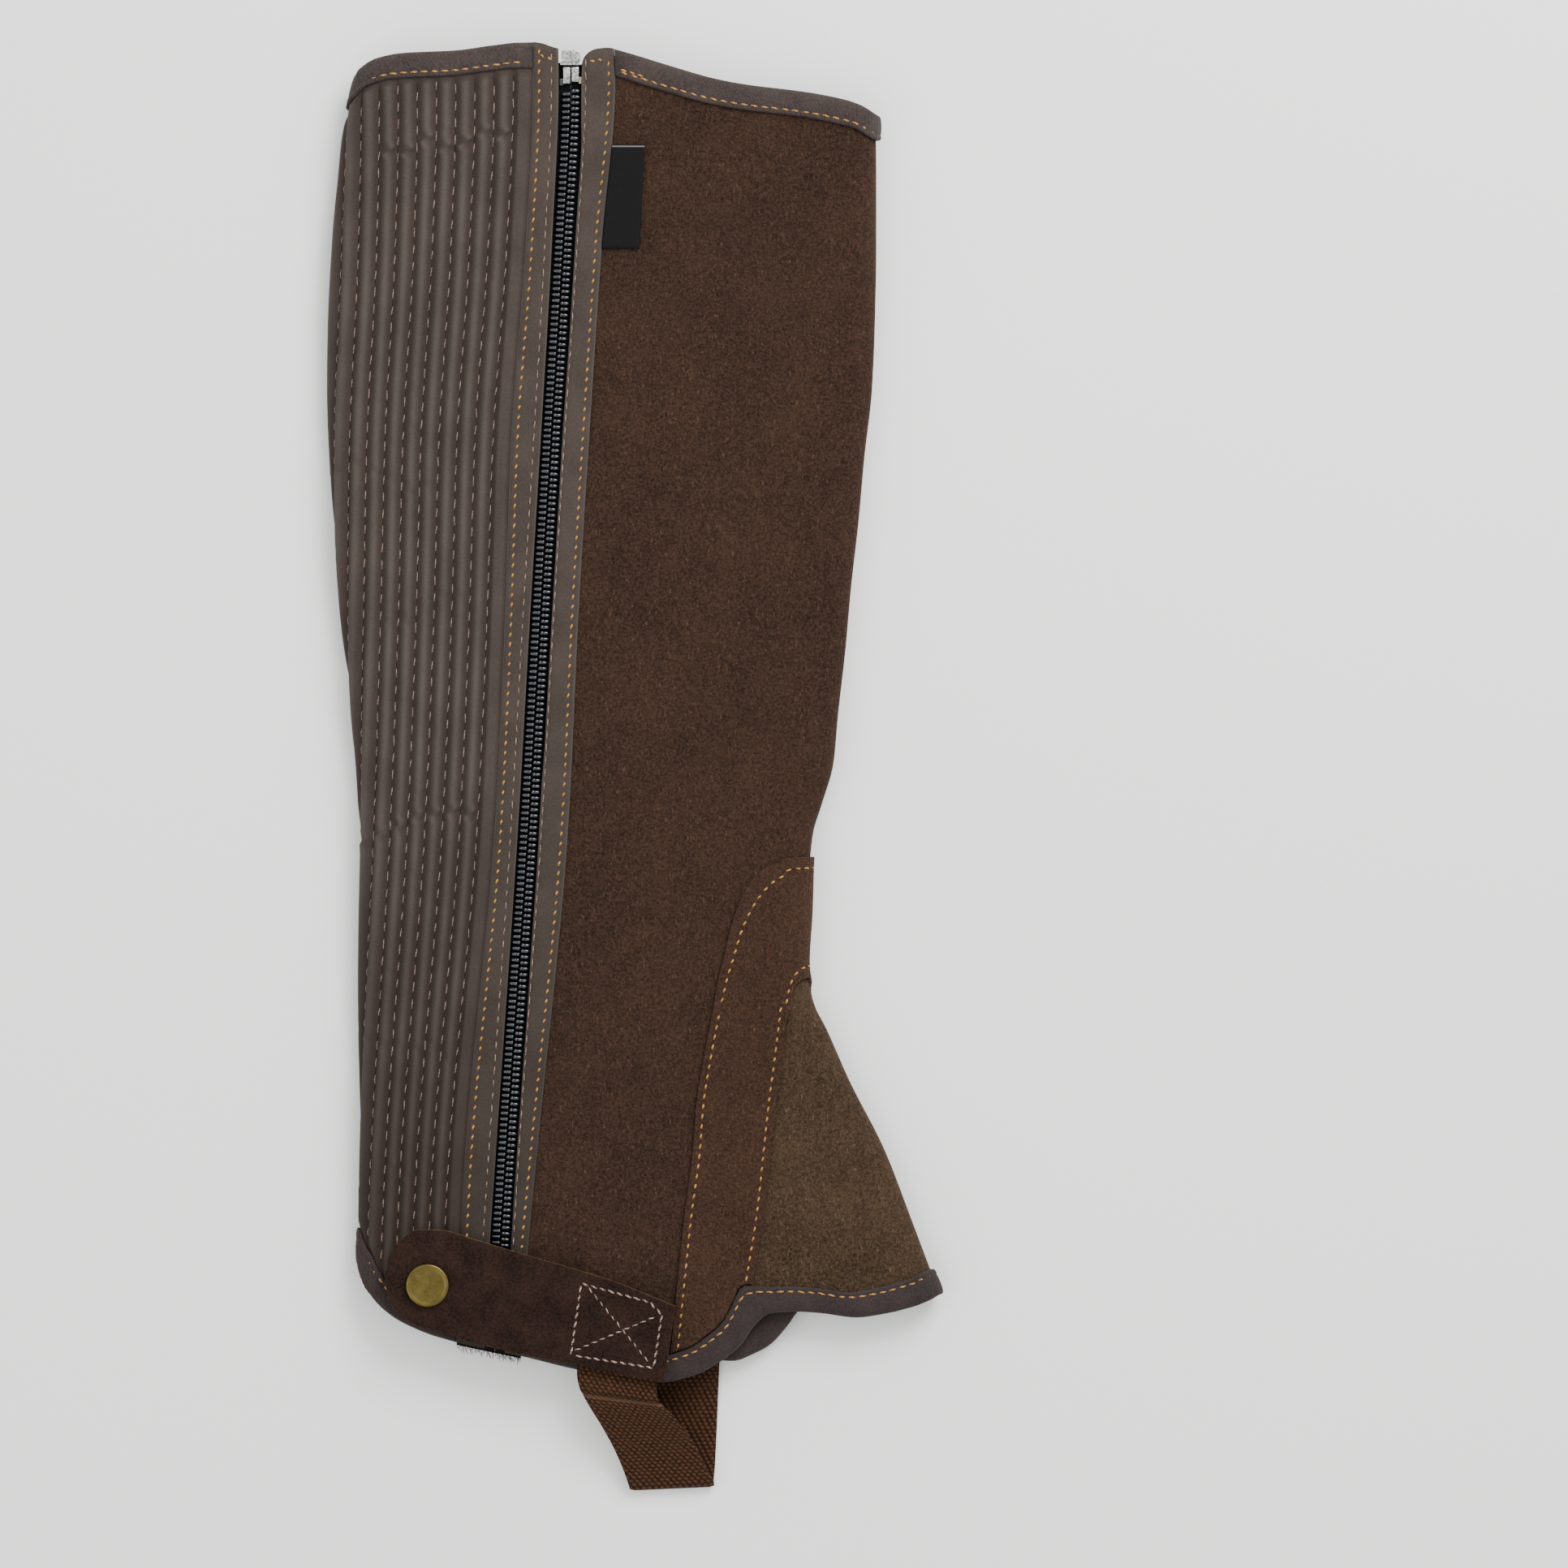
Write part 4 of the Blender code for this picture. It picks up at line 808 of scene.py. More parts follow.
tape_cloth = Finish("zip_tape", 0.8, Specular_IOR_Level=0.08)
twill = (tape_cloth.axis("X", "cloth") * 5.0 + tape_cloth.axis("Y", "cloth") * 3.2).sine()
share = tape_cloth.grain(0.8, low=0.4, high=0.75) * 0.6 + twill * 0.15
tape_cloth.set(Base_Color=tape_cloth.blend(share, (0.003, 0.003, 0.0035), (0.016, 0.0155, 0.017)),
               Normal=tape_cloth.relief(twill, 0.15, 0.8))
tapes = {"zip_tape_left": (zip_turn("left_out", SEAM), zip_turn("centre", -TAPE_SPLIT)),
         "zip_tape_right": (zip_turn("centre", TAPE_SPLIT), zip_turn("right_out", -SEAM))}
for name, sides in tapes.items():
    patch = columns(between(*sides, np.linspace(0, 1, TAPE_COLUMNS)),
                    lambda across: hem.meet(across, 0) - TAPE_TAIL, mouth.inset(TAPE_TOP), TAPE_ROWS)
    tape = wall(f"{name}_cloth", [patch], TAPE_LOW, TAPE_HIGH)
    dress(tape, [tape_cloth], "zip_tape", name)

fray = Finish("frayed_ends", 0.9)
fray.set(Base_Color=fray.blend(fray.grain(0.7, 1.0, low=0.45, high=0.6), (0.008, 0.0075, 0.0075),
                               (0.22, 0.19, 0.165)))
fray_rows = []
for sides in tapes.values():
    for across in between(*sides, np.linspace(*FRAY_SPREAD, FRAY_COUNT)):
        y = hem.meet(across, 0) - TAPE_TAIL - chance.uniform(*FRAY_DOWN)
        middle = place(across(y), y, chance.uniform(TAPE_LOW + FRAY_IN, TAPE_HIGH - FRAY_IN))[None]
        run = np.array([[chance.normal(0, FRAY_LEAN), -1.0, chance.normal(0, FRAY_LIFT)]])
        fray_rows.append((middle, unit(run), np.array([[0.0, 0.0, 1.0]])))
sew("tape_fray", fray_rows, fray, "zip_tape", 2.6, 0.24, dip=0.1, lift=0.0)


def mottled(name, grain, dark, light, roughness, uneven, **constants):
    """A hard surface with patches that are paler, and duller if it is unevenly rough."""
    finish = Finish(name, **constants)
    patch = finish.grain(*grain)
    finish.set(Base_Color=finish.blend(patch, dark, light), Roughness=roughness + uneven * patch)
    return finish


coil = mottled("zip_coil", (1.5, 2.0, 0.5, 0.35, 0.75), (0.0025, 0.004, 0.0055),
               (0.013, 0.02, 0.028), 0.12, 0.12, Specular_IOR_Level=0.9)
ball_points, ball_faces = ball(10)
side, up, run = np.sign(ball_points.T) * np.abs(ball_points.T * 2) ** 0.75 / 2
tooth_faces = copies(ball_faces, len(ball_points), 2)
for name, sign in (("left", -1), ("right", 1)):
    y = np.arange(CHAIN_END, CHAIN_TOP, COIL_PITCH)
    across = zip_turn("centre", sign * TOOTH_OFF)
    middles, runs, outs = along(across(y), y, TOOTH_LEVEL, COIL_PITCH, 0.5 + 0.25 * sign)
    sag = up * TOOTH_HIGH - TOOTH_SAG * np.maximum(0, run * sign) ** 2
    head_at = run * HEAD_LONG - sign * HEAD_IN
    tooth = np.concatenate((
        np.stack((run * TOOTH_LONG, side * TOOTH_WIDE, sag), 1),
        np.stack((head_at, side * HEAD_WIDE, up * HEAD_HIGH + HEAD_UP), 1)))
    axes = np.stack((np.cross(runs, outs), runs, outs), 1)
    spots = (middles[:, None] + tooth @ axes).reshape(-1, 3)
    faces = copies(tooth_faces, len(tooth), len(middles))
    teeth = finish_mesh(f"zip_coil_{name}", spots, faces, {"cloth": spots[:, :2]})
    dress(teeth, [coil], "zip_coil", *(["zip_chain"] if sign < 0 else []))


def seat(x, y, height):
    """A frame on the outer side: X to the front, Y up the leg, Z out of the cloth."""
    at, above = (place(turn_at(OUTER, x, v, height), v, height) for v in (y, y + 1))
    up = Vector(above - at).normalized()
    across = Vector((1, 0, 0))
    across = (across - up * across.dot(up)).normalized()
    turned = Matrix((across, up, across.cross(up))).transposed().to_4x4()
    return Matrix.Translation(Vector(to_metres(at))) @ turned


def set_down(piece, at):
    """Moves a metal piece to its seat and shades it, with its sharp edges kept."""
    piece.data.transform(at)
    piece.data.shade_smooth()
    bpy.ops.object.shade_smooth_by_angle(angle=math.radians(SHARP))


def smooth_block(name, seat_at, size, centre, bevel):
    """A small cast block with rounded edges."""
    deselect()
    bpy.ops.mesh.primitive_cube_add(size=1.0)
    block = bpy.context.object
    block.name = block.data.name = name
    bpy.ops.transform.resize(value=tuple(v * MM for v in size))
    bpy.ops.object.transform_apply(location=False, rotation=False, scale=True)
    round_off = block.modifiers.new("cast_edges", "BEVEL")
    round_off.width = bevel * MM
    round_off.segments = 3
    bpy.ops.object.modifier_apply(modifier="cast_edges")
    set_down(block, seat_at @ Matrix.Translation(Vector(centre) * MM))
    return block


silver = mottled("zip_silver", (0.9,), (0.3, 0.31, 0.31), (0.8, 0.8, 0.78), 0.14, 0.14,
                 Metallic=1.0)
warm_metal = mottled("zip_brassy", (0.6, 2.0, 0.5, 0.3, 0.8), (0.38, 0.30, 0.18),
                     (0.62, 0.54, 0.38), 0.3, 0.0, Metallic=1.0)
zip_x = float(zip_lines["centre"](MOUTH_TOP))
top = seat(zip_x, BOX_Y, 0.0)
box = smooth_block("zip_end_box", top, BOX_SIZE, (0, 0, 1.5), 0.55)
dress(box, [silver], "zip_silver", "zip_box")
flange = smooth_block("zip_end_flange", top, FLANGE_SIZE, (0, FLANGE_DOWN, 1.2), 0.3)
dress(flange, [silver], "zip_silver")
lower = seat(zip_x, PIN_Y, 0.0)
for name, (x, length) in PIN_SIZES.items():
    pin_size, pin_at = (PIN_WIDE, length, PIN_HIGH), (x, PIN_TOP - length / 2, 1.0)
    pin = smooth_block(f"{name}_bar", lower, pin_size, pin_at, 0.5)
    dress(pin, [silver], "zip_silver", name)
    lug_at = (x * LUG_OUT, PIN_TOP - length + LUG_UP, 0.7)
    lug = smooth_block(f"{name}_lug", lower, LUG_SIZE, lug_at, 0.35)
    dress(lug, [coil if x < 0 else warm_metal], "zip_silver")

black_metal = mottled("zip_black", (0.8, 3.0, 0.6, 0.5, 0.75), (0.014, 0.014, 0.015),
                      (0.07, 0.068, 0.064), 0.32, 0.25, Metallic=0.6)
for name in ("zip_slider", "zip_pull"):
    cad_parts[name].material_slots[0].material = black_metal.material

# Facing strips: smooth matte cloth folded under on both sides and sewn down over the tapes,
# with a gold row near each outer edge and a pale row beside the coils.
STRIP_LOW, STRIP_FACE = 1.5, 2.6
STRIP_COLUMNS, STRIP_ROWS = 22, 190
FOLD_ROLL, FOLD_DROP, STRIP_CROWN = 1.2, 0.75, 0.12
DENT, DENT_HALF = 0.22, 0.7
RIPPLE, RIPPLE_WAVE, RIPPLE_SWELL = 0.05, 2.9, 17.0
GOLD_IN, GOLD_GAP, PALE_GAP, STRIP_STITCH_END, STRIP_SINK = 2.2, 3.35, 4.3, 1.5, 0.12
PALE_IN = {"left": 2.4, "right": 0.8}
CROSS_SIDE, CROSS_DEPTH, CROSS_GAP, CROSS_POINTS, CROSS_SINK = 1.8, 4.0, 2.6, 20, 0.05
CORNER = 4.5


def sewn_face(offsets, width, rows):
    """The face of a narrow strip: rolled at its edges and drawn in along its stitch rows."""
    edge = np.minimum(offsets, width - offsets)
    face = STRIP_FACE - FOLD_DROP * np.maximum(0, 1 - edge / FOLD_ROLL) ** 2
    face = face + STRIP_CROWN * np.sin(np.pi * np.clip(offsets / width, 0, 1))
    for row in rows:
        face = face - DENT * np.exp(-((offsets - row) / DENT_HALF) ** 2)
    return face


facing = Finish("facing", 0.7, Specular_IOR_Level=0.12, Sheen_Weight=0.05)
grain = facing.grain(0.8, 3.0, 0.7)
cloth = facing.blend(facing.grain(14.0) * 0.5 + grain * 0.5, (0.031, 0.0232, 0.0185),
                     (0.052, 0.0405, 0.033))
low = facing.axis("X", "relief").step(STRIP_FACE - 0.5, STRIP_FACE - 0.1)
cloth = facing.blend(low, (0.062, 0.052, 0.045), cloth)
near_hem = 1.0 - facing.axis("Y").step(-190.0, 40.0)
facing.set(Base_Color=facing.blend(near_hem * 0.45, cloth, (0.014, 0.0095, 0.0062)),
           Normal=facing.relief(grain, 0.06, 0.5))
gold_thread = thread_finish("gold_thread", (0.15, 0.066, 0.014), (0.54, 0.275, 0.06))
gold_rows, pale_rows = [], []
shares = (1 - np.cos(np.linspace(0, np.pi, STRIP_COLUMNS))) / 2
for name, left, right in (("left", "left_out", "left_in"), ("right", "right_in", "right_out")):
    turns, y = columns(between(zip_turn(left), zip_turn(right), shares), hem.inset(0),
                       mouth.inset(0), STRIP_ROWS)
    width = zip_lines[right](y) - zip_lines[left](y)
    offsets = shares[:, None] * width
    rows = [GOLD_IN, width - PALE_IN[name]]
    gold, pale = zip_turn(left, GOLD_IN), zip_turn(right, -PALE_IN[name])
    if name == "right":
        drop = CORNER - np.sqrt(CORNER ** 2 - np.maximum(0, CORNER - offsets) ** 2)
        y = y - drop * np.linspace(0, 1, STRIP_ROWS)
        rows = [PALE_IN[name], width - GOLD_IN]
        gold, pale = zip_turn(right, -GOLD_IN), zip_turn(left, PALE_IN[name])
    ripple = RIPPLE * np.sin(y / RIPPLE_WAVE + offsets) * np.sin(y / RIPPLE_SWELL)
    face = sewn_face(offsets, width, rows) + ripple
    strip = wall(f"{name}_facing", [(turns, y, face)], STRIP_LOW, STRIP_FACE)
    dress(strip, [facing], "facing", f"zip_strip_{name}")
    for rows, across, gap in ((gold_rows, gold, GOLD_GAP), (pale_rows, pale, PALE_GAP)):
        y = up_leg(across, STRIP_STITCH_END)
        rows.append(along(across(y), y, STRIP_FACE - STRIP_SINK, gap))
for left, right in (("left_out", "left_in"), ("right_in", "right_out")):
    near, far = zip_turn(left, CROSS_SIDE), zip_turn(right, -CROSS_SIDE)
    turns = np.linspace(near(MOUTH_TOP), far(MOUTH_TOP), CROSS_POINTS)
    heights = mouth.height(turns, CROSS_DEPTH)
    gold_rows.append(along(turns, heights, STRIP_FACE - CROSS_SINK, CROSS_GAP))
sew("strip_gold_stitches", gold_rows, gold_thread, "facing", 2.0, 0.66, 0.25, lift=0.2)
sew("strip_pale_stitches", pale_rows, pale_thread, "facing", 3.0, 0.4, lift=0.2)

# Instep: a folded gusset of thinner suede lets the front flare over the foot, and an overlay
# of brown suede is sewn over the slit, folded round the front with one leg down each side.
GUSSET_TOP, GUSSET_GAP = SLIT_TOP - 3.5, 0.8
OVERLAY_LOW, OVERLAY_FACE, OVERLAY_COLUMNS = 1.55, 2.85, 13
BINDING_CLEAR = 9.2
LEG_ROWS, LEG_POINTS, CAP_STEPS, GUSSET_ROWS = 44, 90, 8, 50
OVERLAY_STITCH_IN, OVERLAY_GAP, CAP_STITCH_SHARES = 2.3, 3.4, (0.09, 0.9)
LEGS = table("y outer_far outer_near inner_far inner_near", [
    (-80, 27.5, 52.5, 42.5, 61.5), (-98, 24, 50.3, 40.5, 62.5), (-114, 21.5, 48.2, 39, 62),
    (-130, 20.3, 46.5, 37.5, 60), (-151, 17.5, 44.2, 35.7, 56.3), (-175, 15, 40.4, 34.6, 52.3),
    (-205, 12, 36.5, 33.8, 47),
])
LEG_EDGES = {OUTER: ("outer_far", "outer_near"), INNER: ("inner_far", "inner_near")}
CAP = table("side x y near_x near_y", [
    (1, 30.5, -65, 54.2, -75), (1, 34, -51, 56, -72.3), (1, 38.5, -40.5, 58.2, -71),
    (1, 45, -33.5, 59.8, -70.8), (1, 53, -30.2, 60.6, -71), (1, 63, -29.8, 63, -71.6),
    (-1, 57, -31.5, 60.7, -72.8), (-1, 51.5, -40.5, 60.5, -74.4), (-1, 47.5, -52.5, 60.6, -76.4),
    (-1, 44.5, -68, 61, -78.4),
])

gusset_suede = suede_finish("gusset_suede", (0.0082, 0.005, 0.0029), (0.0715, 0.0447, 0.0257), 0.3)
sides = slit_edge(OUTER, GUSSET_GAP), slit_edge(INNER, GUSSET_GAP)
# The gusset's columns stand closer round its fold.
shares = np.concatenate((np.linspace(0, 0.28, 14), np.linspace(0.3, 0.7, 30),
                         np.linspace(0.72, 1, 14)))
patch = columns(between(*sides, shares), hem.inset(EDGE_IN), lambda across: GUSSET_TOP, GUSSET_ROWS)
gusset = soften(wall("folded_gusset", [patch], 0.0, SUEDE), CUT_ROUND)
dress(gusset, [gusset_suede], "gusset_suede", "instep_gusset")


def through(rows, marks, at):
    """Smooth lines through the columns of a table whose rows lie at the given marks."""
    return [Line(list(zip(marks, column)))(at) for column in zip(*rows)]


overlay_patches, legs_top = [], []
over = np.linspace(0, 1, OVERLAY_COLUMNS)
for side, names in LEG_EDGES.items():
    far, near = (edge_turn(side, line(LEGS, name)) for name in names)
    turns, y = columns(between(far, near, over), hem.inset(BINDING_CLEAR),
                       lambda across: LEGS[0].y, LEG_ROWS)
    overlay_patches.append((turns, y))
    legs_top.append((turns[0, -1], LEGS[0].y, turns[-1, -1], LEGS[0].y))
stations = [(turn_at(cap.side, cap.x, cap.y, TRIM_TOP), cap.y,
             turn_at(cap.side, cap.near_x, cap.near_y, TRIM_TOP), cap.near_y) for cap in CAP]
stations = [legs_top[0], *stations, legs_top[1]]
steps = np.linspace(0, len(stations) - 1, CAP_STEPS * (len(stations) - 1) + 1)
far_turn, far_y, near_turn, near_y = through(stations, range(len(stations)), steps)
over = over[:, None]
overlay_patches.append((mix(far_turn, near_turn, over), mix(far_y, near_y, over)))
overlay_suede = suede_finish("overlay_suede", (0.0085, 0.0044, 0.0028), (0.06, 0.0306, 0.0193))
cut_suede = suede_finish("cut_suede", (0.03, 0.0175, 0.012), (0.1, 0.064, 0.048), 0.2)
overlay = soften(wall("folded_overlay", overlay_patches, OVERLAY_LOW, OVERLAY_FACE), 0.4, 2, 1)
dress(overlay, [overlay_suede, cut_suede, cut_suede], "overlay_suede", "instep_overlay")

edge_rows = []
for side, names in LEG_EDGES.items():
    for name, sign in zip(names, (1, -1)):
        across = edge_turn(side, line(LEGS, name), sign * OVERLAY_STITCH_IN)
        y = np.linspace(hem.meet(across, BINDING_CLEAR), LEGS[0].y, LEG_POINTS)
        edge_rows.append(along(across(y), y, OVERLAY_FACE, OVERLAY_GAP))
for share in CAP_STITCH_SHARES:
    inset = mix(far_turn, near_turn, share), mix(far_y, near_y, share)
    edge_rows.append(along(*inset, OVERLAY_FACE, OVERLAY_GAP))
sew("overlay_stitches", edge_rows, gold_thread, "overlay_suede", 2.3, 0.62, 0.12)

# Bindings: soft stretch tape folded over the two raw ends of the leg and caught down by one
# row of gold stitches through both sides.
BINDING_PROFILE = [
    (8.5, 1.8), (8.62, 2.25), (8.35, 2.65), (7.7, 2.78), (7.2, 2.66), (6.9, 2.6), (6.6, 2.66), (6, 2.8),
    (4.6, 2.92), (2.8, 2.9), (1.5, 2.75), (0.6, 2.35), (0.1, 1.6), (0, 0.7), (0.1, -0.2), (0.6, -0.95),
    (1.5, -1.35), (2.8, -1.5), (5, -1.5), (7.6, -1.45), (8.4, -1.25), (8.6, -0.85), (8.5, -0.4),
    (1.3, -0.35), (1.3, 1.7),
]
BINDING_STITCH_IN, BINDING_GAP, BINDING_LEVEL = 6.9, 3.5, 2.68
BACK_STITCH, BACK_TURNS, BACK_GAP, BACK_LEVEL = 0.8, 0.07, 2.9, 2.75
END_GAP, END_CLEAR, STATION = 0.05, 0.04, 0.011
SWELL, SWELL_TURNS, SWELL_FADE, SWELL_LEVEL = 0.5, 0.45, 0.2, 1.9
PUCKERS, PUCKER_IN = ((0.09, 1.7), (0.06, 0.61)), 0.15
BINDING_MIDDLE, ROW_IN, ROW_POINTS, BACK_POINTS = 5, 0.01, 700, 60


def swept(name, rings):
    """A closed solid through rings of points, with a face at each end."""
    rings = np.asarray(rings)
    count, size = rings.shape[:2]
    ids = np.arange(count * size).reshape(count, size)
    after = np.roll(ids, -1, 1)
    faces = np.stack((ids[:-1], after[:-1], after[1:], ids[1:]), -1).reshape(-1, 4).tolist()
    faces += [ids[0].tolist(), ids[-1][::-1].tolist()]
    run, girth = lengths(rings.mean(1))[:, None], lengths(rings.mean(0))[None]
    cloth = np.stack(np.broadcast_arrays(run, girth), -1).reshape(-1, 2)
    return finish_mesh(name, rings.reshape(-1, 3), faces, {"cloth": cloth})


def bind(name, edge):
    """The folded tape from one side of the zip round the leg to the other."""
    depths, levels = np.array(BINDING_PROFILE).T
    ends = []
    for side, gap in (("right_out", END_GAP), ("left_out", -END_GAP)):
        across = zip_turn(side, gap)
        heights = np.array([edge.meet(across, depth) for depth in depths])
        ends.append((across(heights), heights))
    start = ends[0][0].min() - END_CLEAR
    stop = ends[1][0].max() + END_CLEAR - 4
    spots = [(np.full(len(depths), turn), edge.height(turn, depths))
             for turn in np.linspace(start, stop, int((start - stop) / STATION))]
    rings = []
    for i, (turn, y) in enumerate([ends[0], *spots, ends[1]]):
        away = np.abs((turn + 1) % 2 - 1)
        pucker = sum(high * math.sin(i * wave) for high, wave in PUCKERS) - PUCKER_IN
        swell = SWELL * ease((SWELL_TURNS - away) / SWELL_FADE) + pucker
        rings.append(place(turn, y, levels + swell * (levels > SWELL_LEVEL)))
    return swept(name, rings)


binding_cloth = Finish("binding", 0.82, Specular_IOR_Level=0.12, Sheen_Weight=0.08)
twill = binding_cloth.axis("X", "cloth") + binding_cloth.axis("Y", "cloth") * 0.7
twill = (twill * 4.6).sine()
dusty = binding_cloth.grain(9.0, 3.0)
lint = binding_cloth.grain(0.8, 3.0, 0.75)
share = (dusty * 0.25 + twill * 0.05 + lint * 0.55 + 0.1).clamp()
tape_colour = binding_cloth.blend(share, (0.0185, 0.0132, 0.0122), (0.056, 0.042, 0.038))
at_hem = 1.0 - binding_cloth.axis("Y").step(-150.0, -60.0)
binding_cloth.set(Base_Color=binding_cloth.blend(at_hem * 0.35, tape_colour,
                                                 (0.011, 0.0075, 0.0085)),
                  Normal=binding_cloth.relief(twill * 0.3 + lint, 0.1, 0.6))
binding_rows = []
for name, edge, long in (("mouth_binding", mouth, 0.31), ("hem_binding", hem, 0.365)):
    binding = bind(f"{name}_tape", edge)
    dress(binding, [binding_cloth], "binding", name)
    start, stop = (float(zip_turn(side, gap)(edge.meet(zip_turn(side), BINDING_MIDDLE)))
                   for side, gap in (("right_out", SEAM), ("left_out", -SEAM)))
    turns = np.linspace(start - ROW_IN, stop - 4 + ROW_IN, ROW_POINTS)
    heights = edge.height(turns, BINDING_STITCH_IN)
    binding_rows.append(along(turns, heights, BINDING_LEVEL, BINDING_GAP))
    turns = np.linspace(start - ROW_IN, start - BACK_TURNS, BACK_POINTS)
    heights = edge.height(turns, BINDING_STITCH_IN - BACK_STITCH)
    binding_rows.append(along(turns, heights, BACK_LEVEL, BACK_GAP))
sew("binding_stitches", binding_rows, gold_thread, "binding", 2.7, 0.6, 0.1, lift=0.0)

# Inner side: a D-shaped grip patch of lighter suede, quilted on in arcs, and behind it a suede
# band with turned edges that covers the seam to the stretch panel.
GRIP = table("y edge", [
    (196, -46), (194.5, -31.5), (187.5, -10.5), (176.5, 10.5), (160.5, 32), (144, 48), (127, 57.5),
    (103, 65.5), (83, 68.5), (58.5, 69), (20, 63), (-13, 50), (-51, 29.5), (-71, 15.5), (-88.5, 2),
    (-104, -11.5), (-118, -24.5), (-135.5, -43.5), (-141, -52),
])
ARCS = [
    [(-53, 163), (-35.9, 158.3), (-20.4, 152.4), (-7.1, 143.7), (3, 135.2), (13.2, 122.3), (20.9, 108.3),
     (25.4, 93.1), (28.8, 68.4), (26.6, 43.1), (19.3, 20.6), (5.9, -4.7), (-8.8, -27.2), (-26.5, -55.3),
     (-41.1, -74.9), (-53, -91)],
    [(-53, 132), (-44.5, 129.6), (-34, 124.3), (-25, 117), (-16, 107.1), (-9.1, 96.5), (-3.7, 79.6),
     (-3.7, 59.9), (-8.8, 37.4), (-16.5, 17.8), (-27, -1.9), (-41.7, -24.4), (-50, -37)],
]
GRIP_GAP, GRIP_COLUMNS, GRIP_ROWS, BAND_COLUMNS, BAND_ROWS = 0.4, 46, 130, 13, 170
PATCH_ROUND, CURVE_POINTS, BAND_STITCH_Y, ARC_TRIM = 0.35, 240, (-165, 212), 3
GRIP_STITCH_INS, BAND_STITCH_INS, INNER_GAP = (2.2, 5.5), (2.0, -1.9), 4.6


def curve(points, count):
    """A smooth run through points, evenly spaced."""
    run = lengths(points)
    return np.stack(through(points, run, np.linspace(0, run[-1], count)), 1)


def row_on(side, points, count, height, level, gap):
    """Places for stitches along a smooth run through points on one side of the leg."""
    x, y = curve(points, count).T
    return along(turn_at(side, x, y, height), y, level, gap)


grip_suede = suede_finish("grip_suede", (0.038, 0.019, 0.013), (0.1, 0.053, 0.037))
grip_edge = curve([(row.edge, row.y) for row in GRIP], GRIP_ROWS)
x, y = grip_edge.T
start = turn_at(INNER, band_right(y) + GRIP_GAP, y, TRIM_TOP)
shares = np.linspace(0, 1, GRIP_COLUMNS)[:, None]
patch = np.broadcast_arrays(mix(start, turn_at(INNER, x, y, TRIM_TOP), shares), y)
grip = soften(wall("grip_suede_patch", [patch], OVERLAY_LOW, OVERLAY_FACE), PATCH_ROUND)
dress(grip, [grip_suede], "grip_suede", "grip_patch")

band_suede = suede_finish("band_suede", (0.007, 0.0037, 0.0024), (0.052, 0.028, 0.0185))
sides = edge_turn(INNER, band_left), edge_turn(INNER, band_right)
patch = columns(between(*sides, np.linspace(0, 1, BAND_COLUMNS)), hem.inset(BINDING_CLEAR),
                mouth.inset(BINDING_CLEAR), BAND_ROWS)
band = soften(wall("seam_band", [patch], OVERLAY_LOW, OVERLAY_FACE), PATCH_ROUND)
dress(band, [band_suede], "band_suede", "back_band")

way = unit(np.gradient(grip_edge, axis=0))
inward = np.stack((way[:, 1], -way[:, 0]), 1)
grip_runs = [*ARCS, *((grip_edge + inward * depth)[ARC_TRIM:-ARC_TRIM] for depth in GRIP_STITCH_INS)]
y = np.linspace(*BAND_STITCH_Y, 200)
grip_runs += [np.stack((edge(y) + shift, y), 1)
              for edge, shift in zip((band_left, band_right), BAND_STITCH_INS)]
grip_rows = [row_on(INNER, run, CURVE_POINTS, TRIM_TOP, OVERLAY_FACE, INNER_GAP) for run in grip_runs]
sew("inner_side_stitches", grip_rows, pale_thread, "grip_suede", 3.2, 0.5, dip=0.2, lift=-0.04)

# Foot strap: woven elastic from under the tab, down under the boot and up the inner side,
# where its end is sewn under a square of leather with a crossed box of stitches.
STRAP = table("left_x left_y right_x right_y z", [
    (-18.5, -181, 8, -187, 13.7), (-19, -193, 8, -198, 13.7), (-19, -205, 8, -209.5, 13.9),
    (-18, -210, 8.5, -214, 14.3), (-15, -215.5, 12.5, -218, 13.2), (-10.5, -223, 16.8, -223.3, 10.6),
    (-6.3, -231, 21.3, -229.8, 7.6), (-3.2, -238.5, 24.8, -237.3, 4.9), (-1.6, -243.2, 27, -241.8, 3.5),
    (-1.2, -244.6, 27.5, -243.3, 2.3), (-1, -243.2, 27.3, -241.8, 1.1), (-0.2, -238, 27.7, -237, 0.7),
    (1, -222, 28.4, -222, 0.7), (2, -207, 29, -207, 1.3), (2.6, -197, 29.4, -197, 2.1),
    (3.5, -184, 30, -184, 2.1), (4.2, -162, 30.2, -162, 2.1),
])
STRAP_THICK, STRAP_EDGE, STRAP_ROUND, STRAP_ACROSS = 1.2, 0.35, 12, 18
ELASTIC_ROW, ELASTIC_DASH, ELASTIC_SHIFT = 1.35, 2.0, 0.37
RIDGE_ROW, RIDGE_SHARE, RIDGE_HIGH, RIDGE_HALF, RIDGE_RUN = 3, 0.4, 1.5, 1.2, 31.0
BEND_FIRST, BEND_LAST, STRAP_STATIONS, BEND_STATIONS = 7, 11, 90, 30
PATCH_LOW, PATCH_FACE, PATCH_POINTS = 4.7, 5.9, 14
PATCH_CORNERS = [(3.8, -154.9), (30.3, -156.8), (30.2, -184), (1.2, -183.6)]
PATCH_BOX = [
    [(6.5, -157.8), (27.6, -159.3)], [(27.6, -159.3), (27.4, -181.2)], [(27.4, -181.2), (9, -181)],
    [(9, -181), (4.6, -176.5)], [(4.6, -176.5), (6.5, -157.8)], [(6.5, -157.8), (27.4, -181.2)],
    [(27.6, -159.3), (6.8, -178.5)],
]

